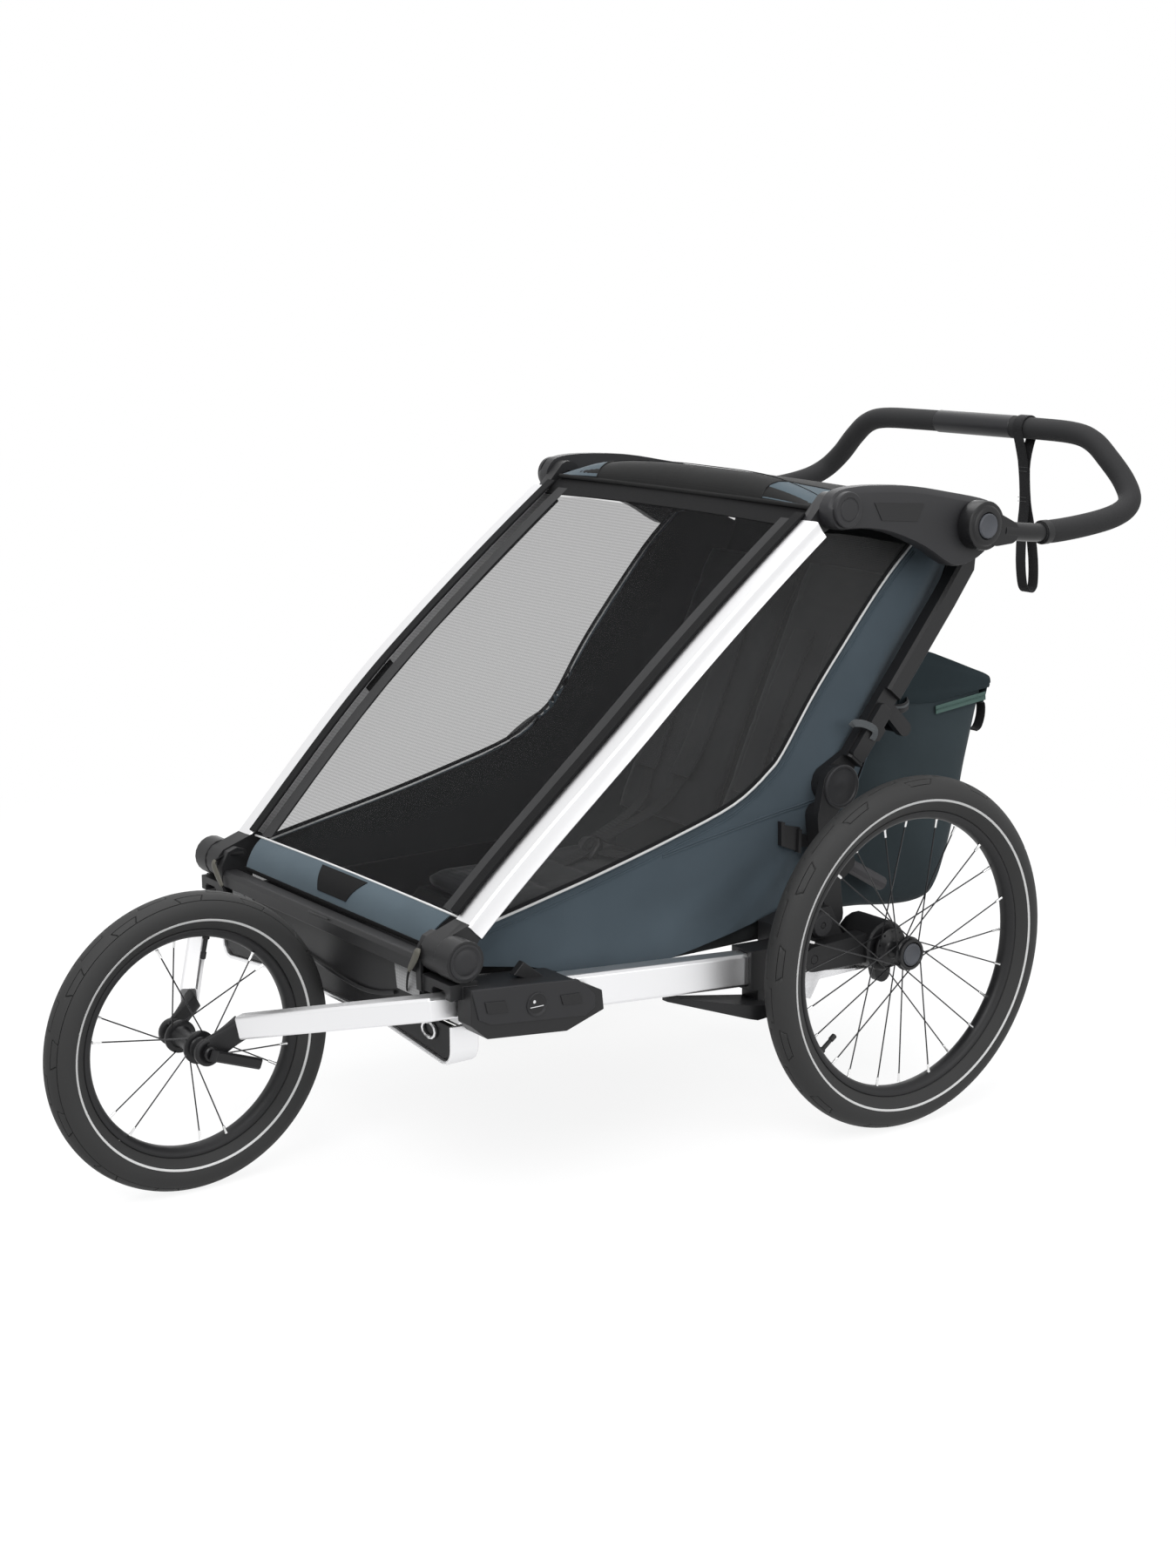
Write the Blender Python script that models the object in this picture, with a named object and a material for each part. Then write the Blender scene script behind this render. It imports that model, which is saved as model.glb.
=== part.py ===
"""Two-seat multisport child trailer with a jogging wheel, at real size in metres, +Z up.

The origin is on the ground in the middle of the length and width. The trailer faces -Y, and its
left side is +X. Places are written from the point on the ground under the rear axle, and the empty
ground_datum carries them to the origin. Left-hand pieces are modelled and mirrored to the right.
"""
import bpy
import bmesh
import math
from mathutils import Vector

# Clearances
SEAT_GAP = 0.0003          # between faces that rest on each other
RUN_GAP = 0.0004           # round a pin, a button or a sliding tongue
LAYER_GAP = 0.003          # between members that fold past each other
CLOTH_GAP = 0.001          # between cloth edges and what carries them

# Wheels: 47-406 tyres behind, a 47-305 tyre in front
TYRE_WIDTH = 0.047
TYRE_HEIGHT = 0.047
REAR_TYRE_R = 0.250
FRONT_TYRE_R = 0.200
RIM_WIDTH = 0.026
RIM_DEPTH = 0.0125
TRACK_X = 0.3765
TYRE_ROOM = 0.0103         # from the front tyre to the front pivots
SPOKE_R = 0.0011
REAR_SPOKES = 24
FRONT_SPOKES = 12
REAR_SEGMENTS = 40
FRONT_SEGMENTS = 36

# Rear hub, measured out from its inner end
HUB_IN_X = 0.3385
HUB_LENGTH = 0.0505
HUB_CORE_R = 0.0125
HUB_BORE_R = 0.0064
INNER_FLANGE_R = 0.028
OUTER_FLANGE_R = 0.0240
HUB_CAP_R = 0.0220
WHEEL_BUTTON_R = 0.0160
WHEEL_BUTTON_LENGTH = 0.0055
WHEEL_BUTTON_TRAVEL = 0.0025

# Front hub and skewer
FRONT_HUB_HALF = 0.046
FRONT_FLANGE_X = 0.027
FRONT_FLANGE_R = 0.022
FRONT_CORE_R = 0.013
SKEWER_R = 0.0050
TIP_THICKNESS = 0.009
TIP_EYE_R = 0.018
LEVER_LENGTH = 0.068
LEVER_THICKNESS = 0.008
LEVER_WIDTH = 0.015
LEVER_BARREL_R = 0.005
LEVER_DROP_DEG = 20.0

# Fold pivots, as (y, z)
FRONT_PIVOT = (-0.700, 0.351)
TOP_PIVOT = (-0.094, 0.866)
FOLD_PIVOT = (-0.055, 0.480)
LINK_PIVOT = (0.175, 0.822)
HANDLE_PIVOT = (0.144, 0.831)

# Layers of the folding frame, outwards
UPRIGHT_IN_X = 0.2625
UPRIGHT_WIDTH = 0.0267
UPRIGHT_DEPTH = 0.032
UPRIGHT_BAR_R = 0.008
PILLAR_FOOT_X = 0.268
PILLAR_WIDTH = 0.034
PILLAR_DEPTH = 0.026
PILLAR_BOW = 0.017
PILLAR_FOOT_DROP = 0.008
PILLAR_SILVER_END = 0.042  # silver stops this far from each pivot
TOP_EYE_WIDTH = 0.020
TOP_EYE_R = 0.021
FOOT_EYE_R = 0.026
LINK_WIDTH = 0.0245
LINK_HUB_R = 0.027
PIVOT_PIN_R = 0.006
FRONT_PIN_R = 0.008
ROOF_BAR_R = 0.0055
ROOF_BAR = (0.179, 0.850)

# Lower frame
RAIL_X = 0.302             # centre of each side rail
RAIL_WIDTH = 0.030
RAIL_HEIGHT = 0.046
RAIL_FRONT_Y = -0.696
RAIL_REAR_Y = -0.170
RAIL_FRONT_Z = 0.2885
RAIL_SLOPE = 0.0796        # fall per metre towards the rear
CASING_IN_X = 0.280
CASING_OUT_X = 0.348
CASING_REAR_Y = -0.503
CHEEK_IN_X = 0.256
CHEEK_WIDTH = 0.0115
CAP_OUT_X = 0.334
CAP_R = 0.027
BEAM_HEIGHT = 0.022
BEAM_DEPTH = 0.024
STRAP_WIDTH = 0.042
STRAP_THICKNESS = 0.005
STRAP_BACK = 0.017         # from the front pivot to the middle of the strap
STRAP_BOTTOM_Z = 0.206
STRAP_CROWN = 0.016
STRAP_CORNER_R = 0.020
RING_WIRE_R = 0.0025
CROSS_TUBE_R = 0.013
CROSS_TUBE = (-0.120, 0.262)
SWING_LENGTH = 0.125
SWING_ARM_X = 0.303
SWING_ARM_WIDTH = 0.024
DRUM_R = 0.036
DRUM_IN_X = 0.268
AXLE_R = 0.006
LEAF_WIDTH = 0.022
LEAF_THICKNESS = 0.0045
CASTING_BOTTOM_Z = 0.228
DIAL_BACK = 0.098          # from the rear axle, as is the rise
DIAL_RISE = 0.041
DIAL_R = 0.019
DIAL_WIDTH = 0.011
DIAL_PIN_R = 0.004

# Jogging arms
ARM_WIDTH = 0.0234
ARM_HEIGHT = 0.031
ARM_TONGUE = 0.105
ARM_BEND_Y = -0.733
ARM_END_X = 0.073
ARM_END_BACK = 0.0373      # from the front axle, as is the rise
ARM_END_RISE = 0.033
ARM_LOCK = (-0.600, 0.281)
LOCK_RECESS_R = 0.015
LOCK_RECESS_DEPTH = 0.011
LOCK_R = 0.0095
LOCK_LENGTH = 0.0075
LOCK_PIN_R = 0.0035

# Handlebar
HANDLE_TUBE_R = 0.0130
GRIP_R = 0.0165
HANDLE_TOP_Z = 0.936
HANDLE_REAR_Y = 0.478
KNUCKLE_R = 0.034
KNUCKLE_WIDTH = 0.026
BUTTON_R = 0.0175
BUTTON_LENGTH = 0.010
BUTTON_TRAVEL = 0.004
STRAP_X = 0.108
WRIST_STRAP_WIDTH = 0.020
WRIST_STRAP_THICKNESS = 0.0025
WRIST_STRAP_DROP = 0.250

# Latches on the uprights
LATCH_LENGTH = 0.088
LATCH_DEPTH = 0.026
LATCH_START = 0.004
LATCH_THICKNESS = 0.009
LATCH_TRAVEL = 0.020

# Parking brake lever
BRAKE_PIVOT = (0.235, 0.001, 0.353)
BRAKE_LENGTH = 0.095
BRAKE_R = 0.0105
BRAKE_PIN_R = 0.005
BRAKE_DROP_DEG = 30.0

# Soft parts
CLOTH = 0.003
CABIN_HALF = 0.2525
TUB_WALL = 0.004
FLOOR_Z = 0.228
DECK_Z = 0.268
REAR_LINE = (0.051, 0.522) # a point on the rear panel, as (y, z)
REAR_LEAN = 0.4576         # metres back per metre up
REAR_CROWN = 0.006
REAR_HALF = 0.236          # half the rear panel's width
REAR_LOW_Z = 0.318
REAR_TOP_Z = 0.825
ROOF_FRONT_Y = -0.1045
ROOF_CREST = (-0.080, 0.900)
ROOF_FALL = 0.17           # metres down per metre back
SEAT_WIDTH = 0.222
SEAT_THICKNESS = 0.036
SEAT_MIDDLE_GAP = 0.010
BAG_HALF = 0.215
BAG_TOP_Z = 0.640
BAG_BOTTOM_Z = 0.262
BAG_LID_REAR = (0.308, 0.581)
BAG_FOOT_REAR = (0.228, 0.268)

REAR_BEAD_R = REAR_TYRE_R - TYRE_HEIGHT
FRONT_BEAD_R = FRONT_TYRE_R - TYRE_HEIGHT
FRONT_AXLE_Y = FRONT_PIVOT[0] - TYRE_ROOM - FRONT_TYRE_R
ARM_FRONT = (ARM_END_X, FRONT_AXLE_Y + ARM_END_BACK, FRONT_TYRE_R + ARM_END_RISE)
SWING_PIVOT = (-SWING_LENGTH, REAR_TYRE_R)
DIAL = (-DIAL_BACK, REAR_TYRE_R + DIAL_RISE)

# The middle of the length, from the front tyre to the back of the grip's strap, lies over the origin
REAR_REACH = HANDLE_REAR_Y + GRIP_R + WRIST_STRAP_THICKNESS + 2 * SEAT_GAP
AXLE_Y = -(FRONT_AXLE_Y - FRONT_TYRE_R + REAR_REACH) / 2

UPRIGHT_OUT_X = UPRIGHT_IN_X + UPRIGHT_WIDTH
PILLAR_TOP_X = UPRIGHT_OUT_X + LAYER_GAP
LINK_IN_X = PILLAR_TOP_X + TOP_EYE_WIDTH + SEAT_GAP
LINK_OUT_X = LINK_IN_X + LINK_WIDTH
KNUCKLE_IN_X = LINK_OUT_X + SEAT_GAP
KNUCKLE_OUT_X = KNUCKLE_IN_X + KNUCKLE_WIDTH


def rail_z(y):
    """Height of a side rail's centre at y."""
    return RAIL_FRONT_Z - RAIL_SLOPE * (y - RAIL_FRONT_Y)


def rear_y(z):
    """Where the rear panel lies at height z."""
    return REAR_LINE[0] + (z - REAR_LINE[1]) * REAR_LEAN


def smooth(t):
    """Ease from 0 to 1."""
    t = min(1.0, max(0.0, t))
    return t * t * (3 - 2 * t)


def material(name, colour, roughness, metallic=0.0):
    """A Principled material."""
    made = bpy.data.materials.get(name) or bpy.data.materials.new(name)
    made.use_nodes = True
    shader = made.node_tree.nodes["Principled BSDF"]
    shader.inputs["Base Color"].default_value = (*colour, 1.0)
    shader.inputs["Roughness"].default_value = roughness
    shader.inputs["Metallic"].default_value = metallic
    return made


def make(name, bm, finish, pivot=(0, 0, 0)):
    """Turn a bmesh into an object whose origin is at its pivot."""
    bmesh.ops.remove_doubles(bm, verts=bm.verts, dist=0.000001)
    bmesh.ops.recalc_face_normals(bm, faces=bm.faces)
    bmesh.ops.translate(bm, verts=bm.verts, vec=-Vector(pivot))
    mesh = bpy.data.meshes.new(name)
    bm.to_mesh(mesh)
    bm.free()
    mesh.shade_smooth()
    mesh.set_sharp_from_angle(angle=math.radians(35))
    made = bpy.data.objects.new(name, mesh)
    made.location = pivot
    made.parent = datum
    mesh.materials.append(finish)
    bpy.context.collection.objects.link(made)
    return made


def combine(target, operand, operation="DIFFERENCE"):
    """Join or cut with a second solid, which is used up."""
    bpy.context.view_layer.update()
    modifier = target.modifiers.new("combine", "BOOLEAN")
    modifier.operation = operation
    modifier.object = operand
    evaluated = target.evaluated_get(bpy.context.evaluated_depsgraph_get())
    result = bpy.data.meshes.new_from_object(evaluated)
    target.modifiers.remove(modifier)
    finish = target.data.materials[0]
    target.data = result
    result.materials.clear()
    result.materials.append(finish)
    for face in result.polygons:
        face.material_index = 0
    result.shade_smooth()
    result.set_sharp_from_angle(angle=math.radians(35))
    bpy.data.objects.remove(operand)
    return target


def join(target, operand):
    """Union of two solids."""
    return combine(target, operand, "UNION")


def mirrored(source, name):
    """The right-hand twin of a left-hand piece."""
    mesh = source.data.copy()
    for vertex in mesh.vertices:
        vertex.co.x = -vertex.co.x
    mesh.flip_normals()
    twin = bpy.data.objects.new(name, mesh)
    twin.location = (-source.location.x, source.location.y, source.location.z)
    twin.parent = datum
    bpy.context.collection.objects.link(twin)
    return twin


def prism(name, outline, x0, x1, finish, pivot=(0, 0, 0)):
    """A side-view outline of (y, z) points, extruded from x0 to x1."""
    bm = bmesh.new()
    near = [bm.verts.new((x1, y, z)) for y, z in outline]
    far = [bm.verts.new((x0, y, z)) for y, z in outline]
    bm.faces.new(near)
    bm.faces.new(list(reversed(far)))
    count = len(outline)
    for i in range(count):
        bm.faces.new((near[i], far[i], far[(i + 1) % count], near[(i + 1) % count]))
    return make(name, bm, finish, pivot)


def box(name, low, high, finish):
    """A plain block."""
    outline = [(low[1], low[2]), (high[1], low[2]), (high[1], high[2]), (low[1], high[2])]
    return prism(name, outline, low[0], high[0], finish)


def disc_outline(centre, radius, count=20):
    """A circle of (y, z) points."""
    turns = [2 * math.pi * i / count for i in range(count)]
    return [(centre[0] + radius * math.cos(t), centre[1] + radius * math.sin(t)) for t in turns]


def disc(name, centre, radius, x0, x1, finish, count=16, pivot=(0, 0, 0)):
    """A short cylinder along X."""
    return prism(name, disc_outline(centre, radius, count), x0, x1, finish, pivot)


def capsule_outline(start, end, r0, r1, count=8):
    """Round-ended bar of (y, z) points from start to end."""
    along = math.atan2(end[1] - start[1], end[0] - start[0])
    points = []
    for i in range(count + 1):
        turn = along + math.pi / 2 + math.pi * i / count
        points.append((start[0] + r0 * math.cos(turn), start[1] + r0 * math.sin(turn)))
    for i in range(count + 1):
        turn = along - math.pi / 2 + math.pi * i / count
        points.append((end[0] + r1 * math.cos(turn), end[1] + r1 * math.sin(turn)))
    return points


def lathe(name, profile, centre, finish, segments, pivot=(0, 0, 0)):
    """Turn a closed profile of (x, radius) points about an axis along X through centre.

    Points of radius 0 close the solid on its axis."""
    bm = bmesh.new()
    rings = []
    for i in range(segments):
        turn = 2 * math.pi * i / segments
        ring = []
        for j, (x, radius) in enumerate(profile):
            if radius == 0 and rings:
                ring.append(rings[0][j])
                continue
            y = centre[1] + radius * math.cos(turn)
            z = centre[2] + radius * math.sin(turn)
            ring.append(bm.verts.new((centre[0] + x, y, z)))
        rings.append(ring)
    count = len(profile)
    for i in range(segments):
        ring, following = rings[i], rings[(i + 1) % segments]
        for j in range(count):
            k = (j + 1) % count
            corners = list(dict.fromkeys((ring[j], ring[k], following[k], following[j])))
            if len(corners) > 2:
                bm.faces.new(corners)
    return make(name, bm, finish, pivot)


def sweep(name, path, section, finish, up=Vector((0, 0, 1)), pivot=(0, 0, 0), capped=True):
    """Carry a closed section of (side, up) points along a path of points.

    Corner sections are mitred, so the section keeps its width through a bend."""
    bm = bmesh.new()
    path = [Vector(p) for p in path]
    rings = []
    for i, point in enumerate(path):
        before = (point - path[i - 1]).normalized() if i else (path[1] - point).normalized()
        after = (path[i + 1] - point).normalized() if i + 1 < len(path) else before
        along = (before + after).normalized()
        side = along.cross(up).normalized()
        above = side.cross(along).normalized()
        stretch = 1 / max(0.5, along.dot(before))
        side_turn = before.cross(after).dot(above)
        up_turn = before.cross(after).dot(side)
        wide = stretch if abs(side_turn) >= abs(up_turn) else 1.0
        tall = stretch if abs(side_turn) < abs(up_turn) else 1.0
        ring = [bm.verts.new(point + side * u * wide + above * v * tall) for u, v in section]
        rings.append(ring)
    count = len(section)
    for ring, following in zip(rings, rings[1:]):
        for j in range(count):
            k = (j + 1) % count
            bm.faces.new((ring[j], ring[k], following[k], following[j]))
    if capped:
        bm.faces.new(rings[0])
        bm.faces.new(rings[-1])
    return make(name, bm, finish, pivot)


def round_section(radius, count=12):
    """A circle of (side, up) points."""
    turns = [2 * math.pi * i / count for i in range(count)]
    return [(radius * math.cos(t), radius * math.sin(t)) for t in turns]


def box_section(width, height, chamfer):
    """A rectangle with cut corners."""
    w, h, c = width / 2, height / 2, chamfer
    return [(w, -h + c), (w, h - c), (w - c, h), (-w + c, h),
            (-w, h - c), (-w, -h + c), (-w + c, -h), (w - c, -h)]


def smooth_path(points, steps):
    """Points on a Catmull-Rom curve through the given points."""
    points = [Vector(p) for p in points]
    ends = [2 * points[0] - points[1]] + points + [2 * points[-1] - points[-2]]
    curve = []
    for a, b, c, d in zip(ends, ends[1:], ends[2:], ends[3:]):
        for i in range(steps):
            t = i / steps
            curve.append(0.5 * (2 * b + (c - a) * t + (2 * a - 5 * b + 4 * c - d) * t * t
                                + (3 * b - a - 3 * c + d) * t ** 3))
    curve.append(points[-1])
    return curve


def slab(name, rows, thickness, finish):
    """A sheet of cloth through a grid of points, with its thickness added below or inside."""
    bm = bmesh.new()
    height, width = len(rows), len(rows[0])
    normals = []
    for i in range(height):
        line = []
        for j in range(width):
            down = rows[min(i + 1, height - 1)][j] - rows[max(i - 1, 0)][j]
            across = rows[i][min(j + 1, width - 1)] - rows[i][max(j - 1, 0)]
            line.append(down.cross(across).normalized())
        normals.append(line)
    outer = [[bm.verts.new(p) for p in row] for row in rows]
    inner = [[bm.verts.new(rows[i][j] - normals[i][j] * thickness) for j in range(width)]
             for i in range(height)]
    for i in range(height - 1):
        for j in range(width - 1):
            bm.faces.new((outer[i][j], outer[i][j + 1], outer[i + 1][j + 1], outer[i + 1][j]))
            bm.faces.new((inner[i][j], inner[i + 1][j], inner[i + 1][j + 1], inner[i][j + 1]))
    for i in range(height - 1):
        bm.faces.new((outer[i][0], outer[i + 1][0], inner[i + 1][0], inner[i][0]))
        bm.faces.new((outer[i + 1][-1], outer[i][-1], inner[i][-1], inner[i + 1][-1]))
    for j in range(width - 1):
        bm.faces.new((outer[0][j + 1], outer[0][j], inner[0][j], inner[0][j + 1]))
        bm.faces.new((outer[-1][j], outer[-1][j + 1], inner[-1][j + 1], inner[-1][j]))
    return make(name, bm, finish)


for stale in list(bpy.data.objects):
    bpy.data.objects.remove(stale)

datum = bpy.data.objects.new("ground_datum", None)
datum.location = (0, AXLE_Y, 0)
bpy.context.collection.objects.link(datum)

SILVER = material("satin_aluminium", (0.86, 0.86, 0.87), 0.32, 0.9)
STEEL = material("steel", (0.62, 0.62, 0.63), 0.3, 1.0)
BLACK = material("black_plastic", (0.022, 0.022, 0.024), 0.5)
GREY = material("grey_button", (0.09, 0.10, 0.12), 0.45)
RUBBER = material("tyre_rubber", (0.025, 0.025, 0.026), 0.75)
FOAM = material("grip_foam", (0.02, 0.02, 0.021), 0.85)
SLATE = material("slate_fabric", (0.075, 0.105, 0.125), 0.85)
MESH = material("black_mesh", (0.03, 0.03, 0.03), 0.9)
WINDOW = material("tinted_window", (0.04, 0.04, 0.042), 0.2)
ROOF = material("roof_fabric", (0.035, 0.035, 0.036), 0.85)
SEAT = material("seat_fabric", (0.05, 0.055, 0.06), 0.9)
TUB = material("footwell_panel", (0.03, 0.031, 0.033), 0.6)
BROWN = material("brake_grip", (0.09, 0.08, 0.075), 0.6)


def tyre(name, centre, outer_r, bead_r, segments):
    """Round tread on a flat foot that sits on the rim."""
    radius = TYRE_WIDTH / 2
    middle = outer_r - radius
    profile = []
    for i in range(7):
        turn = math.radians(-129 + 43 * i)
        profile.append((radius * math.sin(turn), middle + radius * math.cos(turn)))
    foot = RIM_WIDTH / 2 - 0.001
    profile.append((foot, bead_r))
    profile.append((-foot, bead_r))
    return lathe(name, profile, centre, RUBBER, segments, pivot=centre)


def rim(name, centre, bead_r, segments):
    """Box-section rim."""
    half = RIM_WIDTH / 2
    crown = bead_r - SEAT_GAP
    profile = [(-half, crown), (half, crown), (half - 0.001, crown - 0.009),
               (0.005, crown - RIM_DEPTH), (-0.005, crown - RIM_DEPTH), (-half + 0.001, crown - 0.009)]
    return lathe(name, profile, centre, BLACK, segments, pivot=centre)


def spoke_set(centre, flanges, count, rim_r, cross_deg):
    """Spokes from two flanges to the rim, as one mesh. A flange is (x, pitch radius)."""
    bm = bmesh.new()
    for i in range(count):
        x, pitch_r = flanges[i % 2]
        lean = cross_deg if (i // 2) % 2 else -cross_deg
        at_rim = 2 * math.pi * i / count
        at_hub = at_rim + math.radians(lean)
        offset = 0.0024 if (i // 2) % 2 else -0.0024
        start = Vector((x + offset, pitch_r * math.cos(at_hub), pitch_r * math.sin(at_hub)))
        end = Vector((0.25 * (x + offset), rim_r * math.cos(at_rim), rim_r * math.sin(at_rim)))
        along = (end - start).normalized()
        side = along.cross(Vector((1, 0, 0))).normalized() * SPOKE_R
        above = side.cross(along)
        start -= along * 0.003
        corners = [side, above, -side, -above]
        low = [bm.verts.new(start + c + Vector(centre)) for c in corners]
        high = [bm.verts.new(end + c + Vector(centre)) for c in corners]
        bm.faces.new(low)
        bm.faces.new(high)
        for j in range(4):
            k = (j + 1) % 4
            bm.faces.new((low[j], low[k], high[k], high[j]))
    return make("spokes", bm, STEEL)


def rear_wheel():
    """Tyre, rim, hub with spokes and the release button in its cap."""
    centre = (TRACK_X, 0, REAR_TYRE_R)
    tyre("rear_tyre_left", centre, REAR_TYRE_R, REAR_BEAD_R, REAR_SEGMENTS)
    rim("rear_rim_left", centre, REAR_BEAD_R, REAR_SEGMENTS)
    start = HUB_IN_X - TRACK_X
    end = start + HUB_LENGTH
    well = end - WHEEL_BUTTON_LENGTH - WHEEL_BUTTON_TRAVEL - RUN_GAP
    well_r = WHEEL_BUTTON_R + RUN_GAP
    profile = [(start, HUB_BORE_R), (start, HUB_CORE_R), (start + 0.004, HUB_CORE_R),
               (start + 0.005, INNER_FLANGE_R), (start + 0.009, INNER_FLANGE_R),
               (start + 0.011, HUB_CORE_R), (end - 0.013, HUB_CORE_R),
               (end - 0.011, OUTER_FLANGE_R), (end - 0.007, OUTER_FLANGE_R),
               (end - 0.005, HUB_CAP_R), (end - 0.001, HUB_CAP_R), (end, HUB_CAP_R - 0.001),
               (end, well_r), (well, well_r), (well, HUB_BORE_R)]
    hub = lathe("rear_hub_left", profile, centre, BLACK, 16, pivot=centre)
    flanges = [(start + 0.007, INNER_FLANGE_R - 0.003), (end - 0.009, OUTER_FLANGE_R - 0.003)]
    flat = math.cos(math.pi / REAR_SEGMENTS)
    rim_r = (REAR_BEAD_R - RIM_DEPTH - SEAT_GAP) * flat - SEAT_GAP
    join(hub, spoke_set(centre, flanges, REAR_SPOKES, rim_r, 62))
    face = TRACK_X + end
    low = face - WHEEL_BUTTON_LENGTH
    disc("wheel_button_left", (0, REAR_TYRE_R), WHEEL_BUTTON_R, low, face, GREY, 16,
         pivot=(face, 0, REAR_TYRE_R))


def front_wheel():
    """Jogging wheel on its own skewer."""
    centre = (0, FRONT_AXLE_Y, FRONT_TYRE_R)
    tyre("front_tyre", centre, FRONT_TYRE_R, FRONT_BEAD_R, FRONT_SEGMENTS)
    rim("front_rim", centre, FRONT_BEAD_R, FRONT_SEGMENTS)
    half, flange = FRONT_HUB_HALF, FRONT_FLANGE_X
    bore = SKEWER_R + RUN_GAP
    outer = [(half, 0.010), (flange + 0.004, FRONT_CORE_R), (flange + 0.002, FRONT_FLANGE_R),
             (flange - 0.002, FRONT_FLANGE_R), (flange - 0.005, FRONT_CORE_R)]
    profile = [(-x, r) for x, r in outer]
    profile += [(x, r) for x, r in reversed(outer)]
    profile += [(half, bore), (-half, bore)]
    hub = lathe("front_hub", profile, centre, BLACK, 16, pivot=centre)
    flanges = [(flange, FRONT_FLANGE_R - 0.003), (-flange, FRONT_FLANGE_R - 0.003)]
    rim_r = FRONT_BEAD_R - RIM_DEPTH - 2 * SEAT_GAP
    join(hub, spoke_set(centre, flanges, FRONT_SPOKES, rim_r, 40))


def jogging_kit():
    """Two arms that plug into the rails, fork tips, skewer and its lever."""
    tongue_end = RAIL_FRONT_Y + ARM_TONGUE
    mouth = RAIL_FRONT_Y - 0.004
    path = [(RAIL_X, tongue_end, rail_z(tongue_end)), (RAIL_X, mouth, rail_z(mouth)),
            (RAIL_X, ARM_BEND_Y, rail_z(ARM_BEND_Y)), ARM_FRONT]
    arm = sweep("jog_arm_left", path, box_section(ARM_WIDTH, ARM_HEIGHT, 0.003), SILVER)
    mirrored(arm, "jog_arm_right")

    tip_x = FRONT_HUB_HALF + SEAT_GAP
    axle = (FRONT_AXLE_Y, FRONT_TYRE_R)
    along = (Vector(ARM_FRONT) - Vector((RAIL_X, ARM_BEND_Y, rail_z(ARM_BEND_Y)))).normalized()
    seat = Vector(ARM_FRONT) + along * SEAT_GAP
    neck = Vector((tip_x + TIP_THICKNESS / 2, axle[0] + 0.012, axle[1] + 0.010))
    side = along.cross(Vector((0, 0, 1))).normalized()
    above = side.cross(along)
    bm = bmesh.new()
    rings = []
    thickness = TIP_THICKNESS / 2
    stations = [(seat, side, ARM_WIDTH / 2, ARM_HEIGHT / 2),
                (seat + along * 0.014, side, ARM_WIDTH / 2 - 0.001, ARM_HEIGHT / 2 - 0.001),
                (neck, Vector((1, 0, 0)), thickness, 0.013)]
    for point, across, half_w, half_h in stations:
        corners = [(1, -1), (1, 1), (-1, 1), (-1, -1)]
        rings.append([bm.verts.new(point + across * half_w * a * (-1 if across is not side else 1)
                                   + above * half_h * b) for a, b in corners])
    for ring, following in zip(rings, rings[1:]):
        for j in range(4):
            k = (j + 1) % 4
            bm.faces.new((ring[j], ring[k], following[k], following[j]))
    bm.faces.new(rings[0])
    bm.faces.new(rings[-1])
    tip = make("fork_tip_left", bm, BLACK)
    eye = disc("eye", axle, TIP_EYE_R, tip_x, tip_x + TIP_THICKNESS, BLACK, 16)
    join(tip, eye)
    hole = disc("hole", axle, SKEWER_R + RUN_GAP, tip_x - 0.01, tip_x + TIP_THICKNESS + 0.01, BLACK, 12)
    combine(tip, hole)
    mirrored(tip, "fork_tip_right")

    head = tip_x + TIP_THICKNESS + SEAT_GAP
    profile = [(-head - 0.009, 0), (-head - 0.009, 0.007), (-head, 0.009), (-head, SKEWER_R),
               (head, SKEWER_R), (head, 0.010), (head + 0.006, 0.010), (head + 0.008, 0.008),
               (head + 0.008, 0)]
    lathe("front_skewer", profile, (0, *axle), BLACK, 12)

    root = Vector((head + 0.008 + SEAT_GAP, *axle))
    drop = math.radians(LEVER_DROP_DEG)
    run = Vector((0, math.cos(drop), -math.sin(drop)))
    middle = root + Vector((LEVER_BARREL_R, 0, 0))
    path = [middle, middle + run * 0.014, middle + Vector((0.002, 0, 0)) + run * LEVER_LENGTH]
    section = box_section(LEVER_THICKNESS, LEVER_WIDTH, 0.0025)
    lever = sweep("skewer_lever", path, section, BLACK, pivot=tuple(middle))
    across = run.cross(Vector((1, 0, 0))) * LEVER_WIDTH / 2
    barrel = round_section(LEVER_BARREL_R, 12)
    join(lever, sweep("barrel", [middle - across, middle + across], barrel, BLACK, up=Vector((1, 0, 0))))


def side_rails():
    """Hollow rails. The jogging arms plug into their open fronts."""
    path = [(RAIL_X, RAIL_FRONT_Y, rail_z(RAIL_FRONT_Y)), (RAIL_X, RAIL_REAR_Y, rail_z(RAIL_REAR_Y))]
    rail = sweep("side_rail_left", path, box_section(RAIL_WIDTH, RAIL_HEIGHT, 0.004), SILVER)
    bore_end = RAIL_FRONT_Y + ARM_TONGUE + 0.020
    bore = [(RAIL_X, RAIL_FRONT_Y - 0.01, rail_z(RAIL_FRONT_Y - 0.01)), (RAIL_X, bore_end, rail_z(bore_end))]
    width = ARM_WIDTH + 2 * RUN_GAP
    height = ARM_HEIGHT + 2 * RUN_GAP
    combine(rail, sweep("bore", bore, box_section(width, height, 0.003), SILVER))
    combine(rail, disc("pin_hole", ARM_LOCK, LOCK_PIN_R + RUN_GAP, RAIL_X + 0.001, RAIL_X + 0.03, SILVER, 12))
    mirrored(rail, "side_rail_right")


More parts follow.
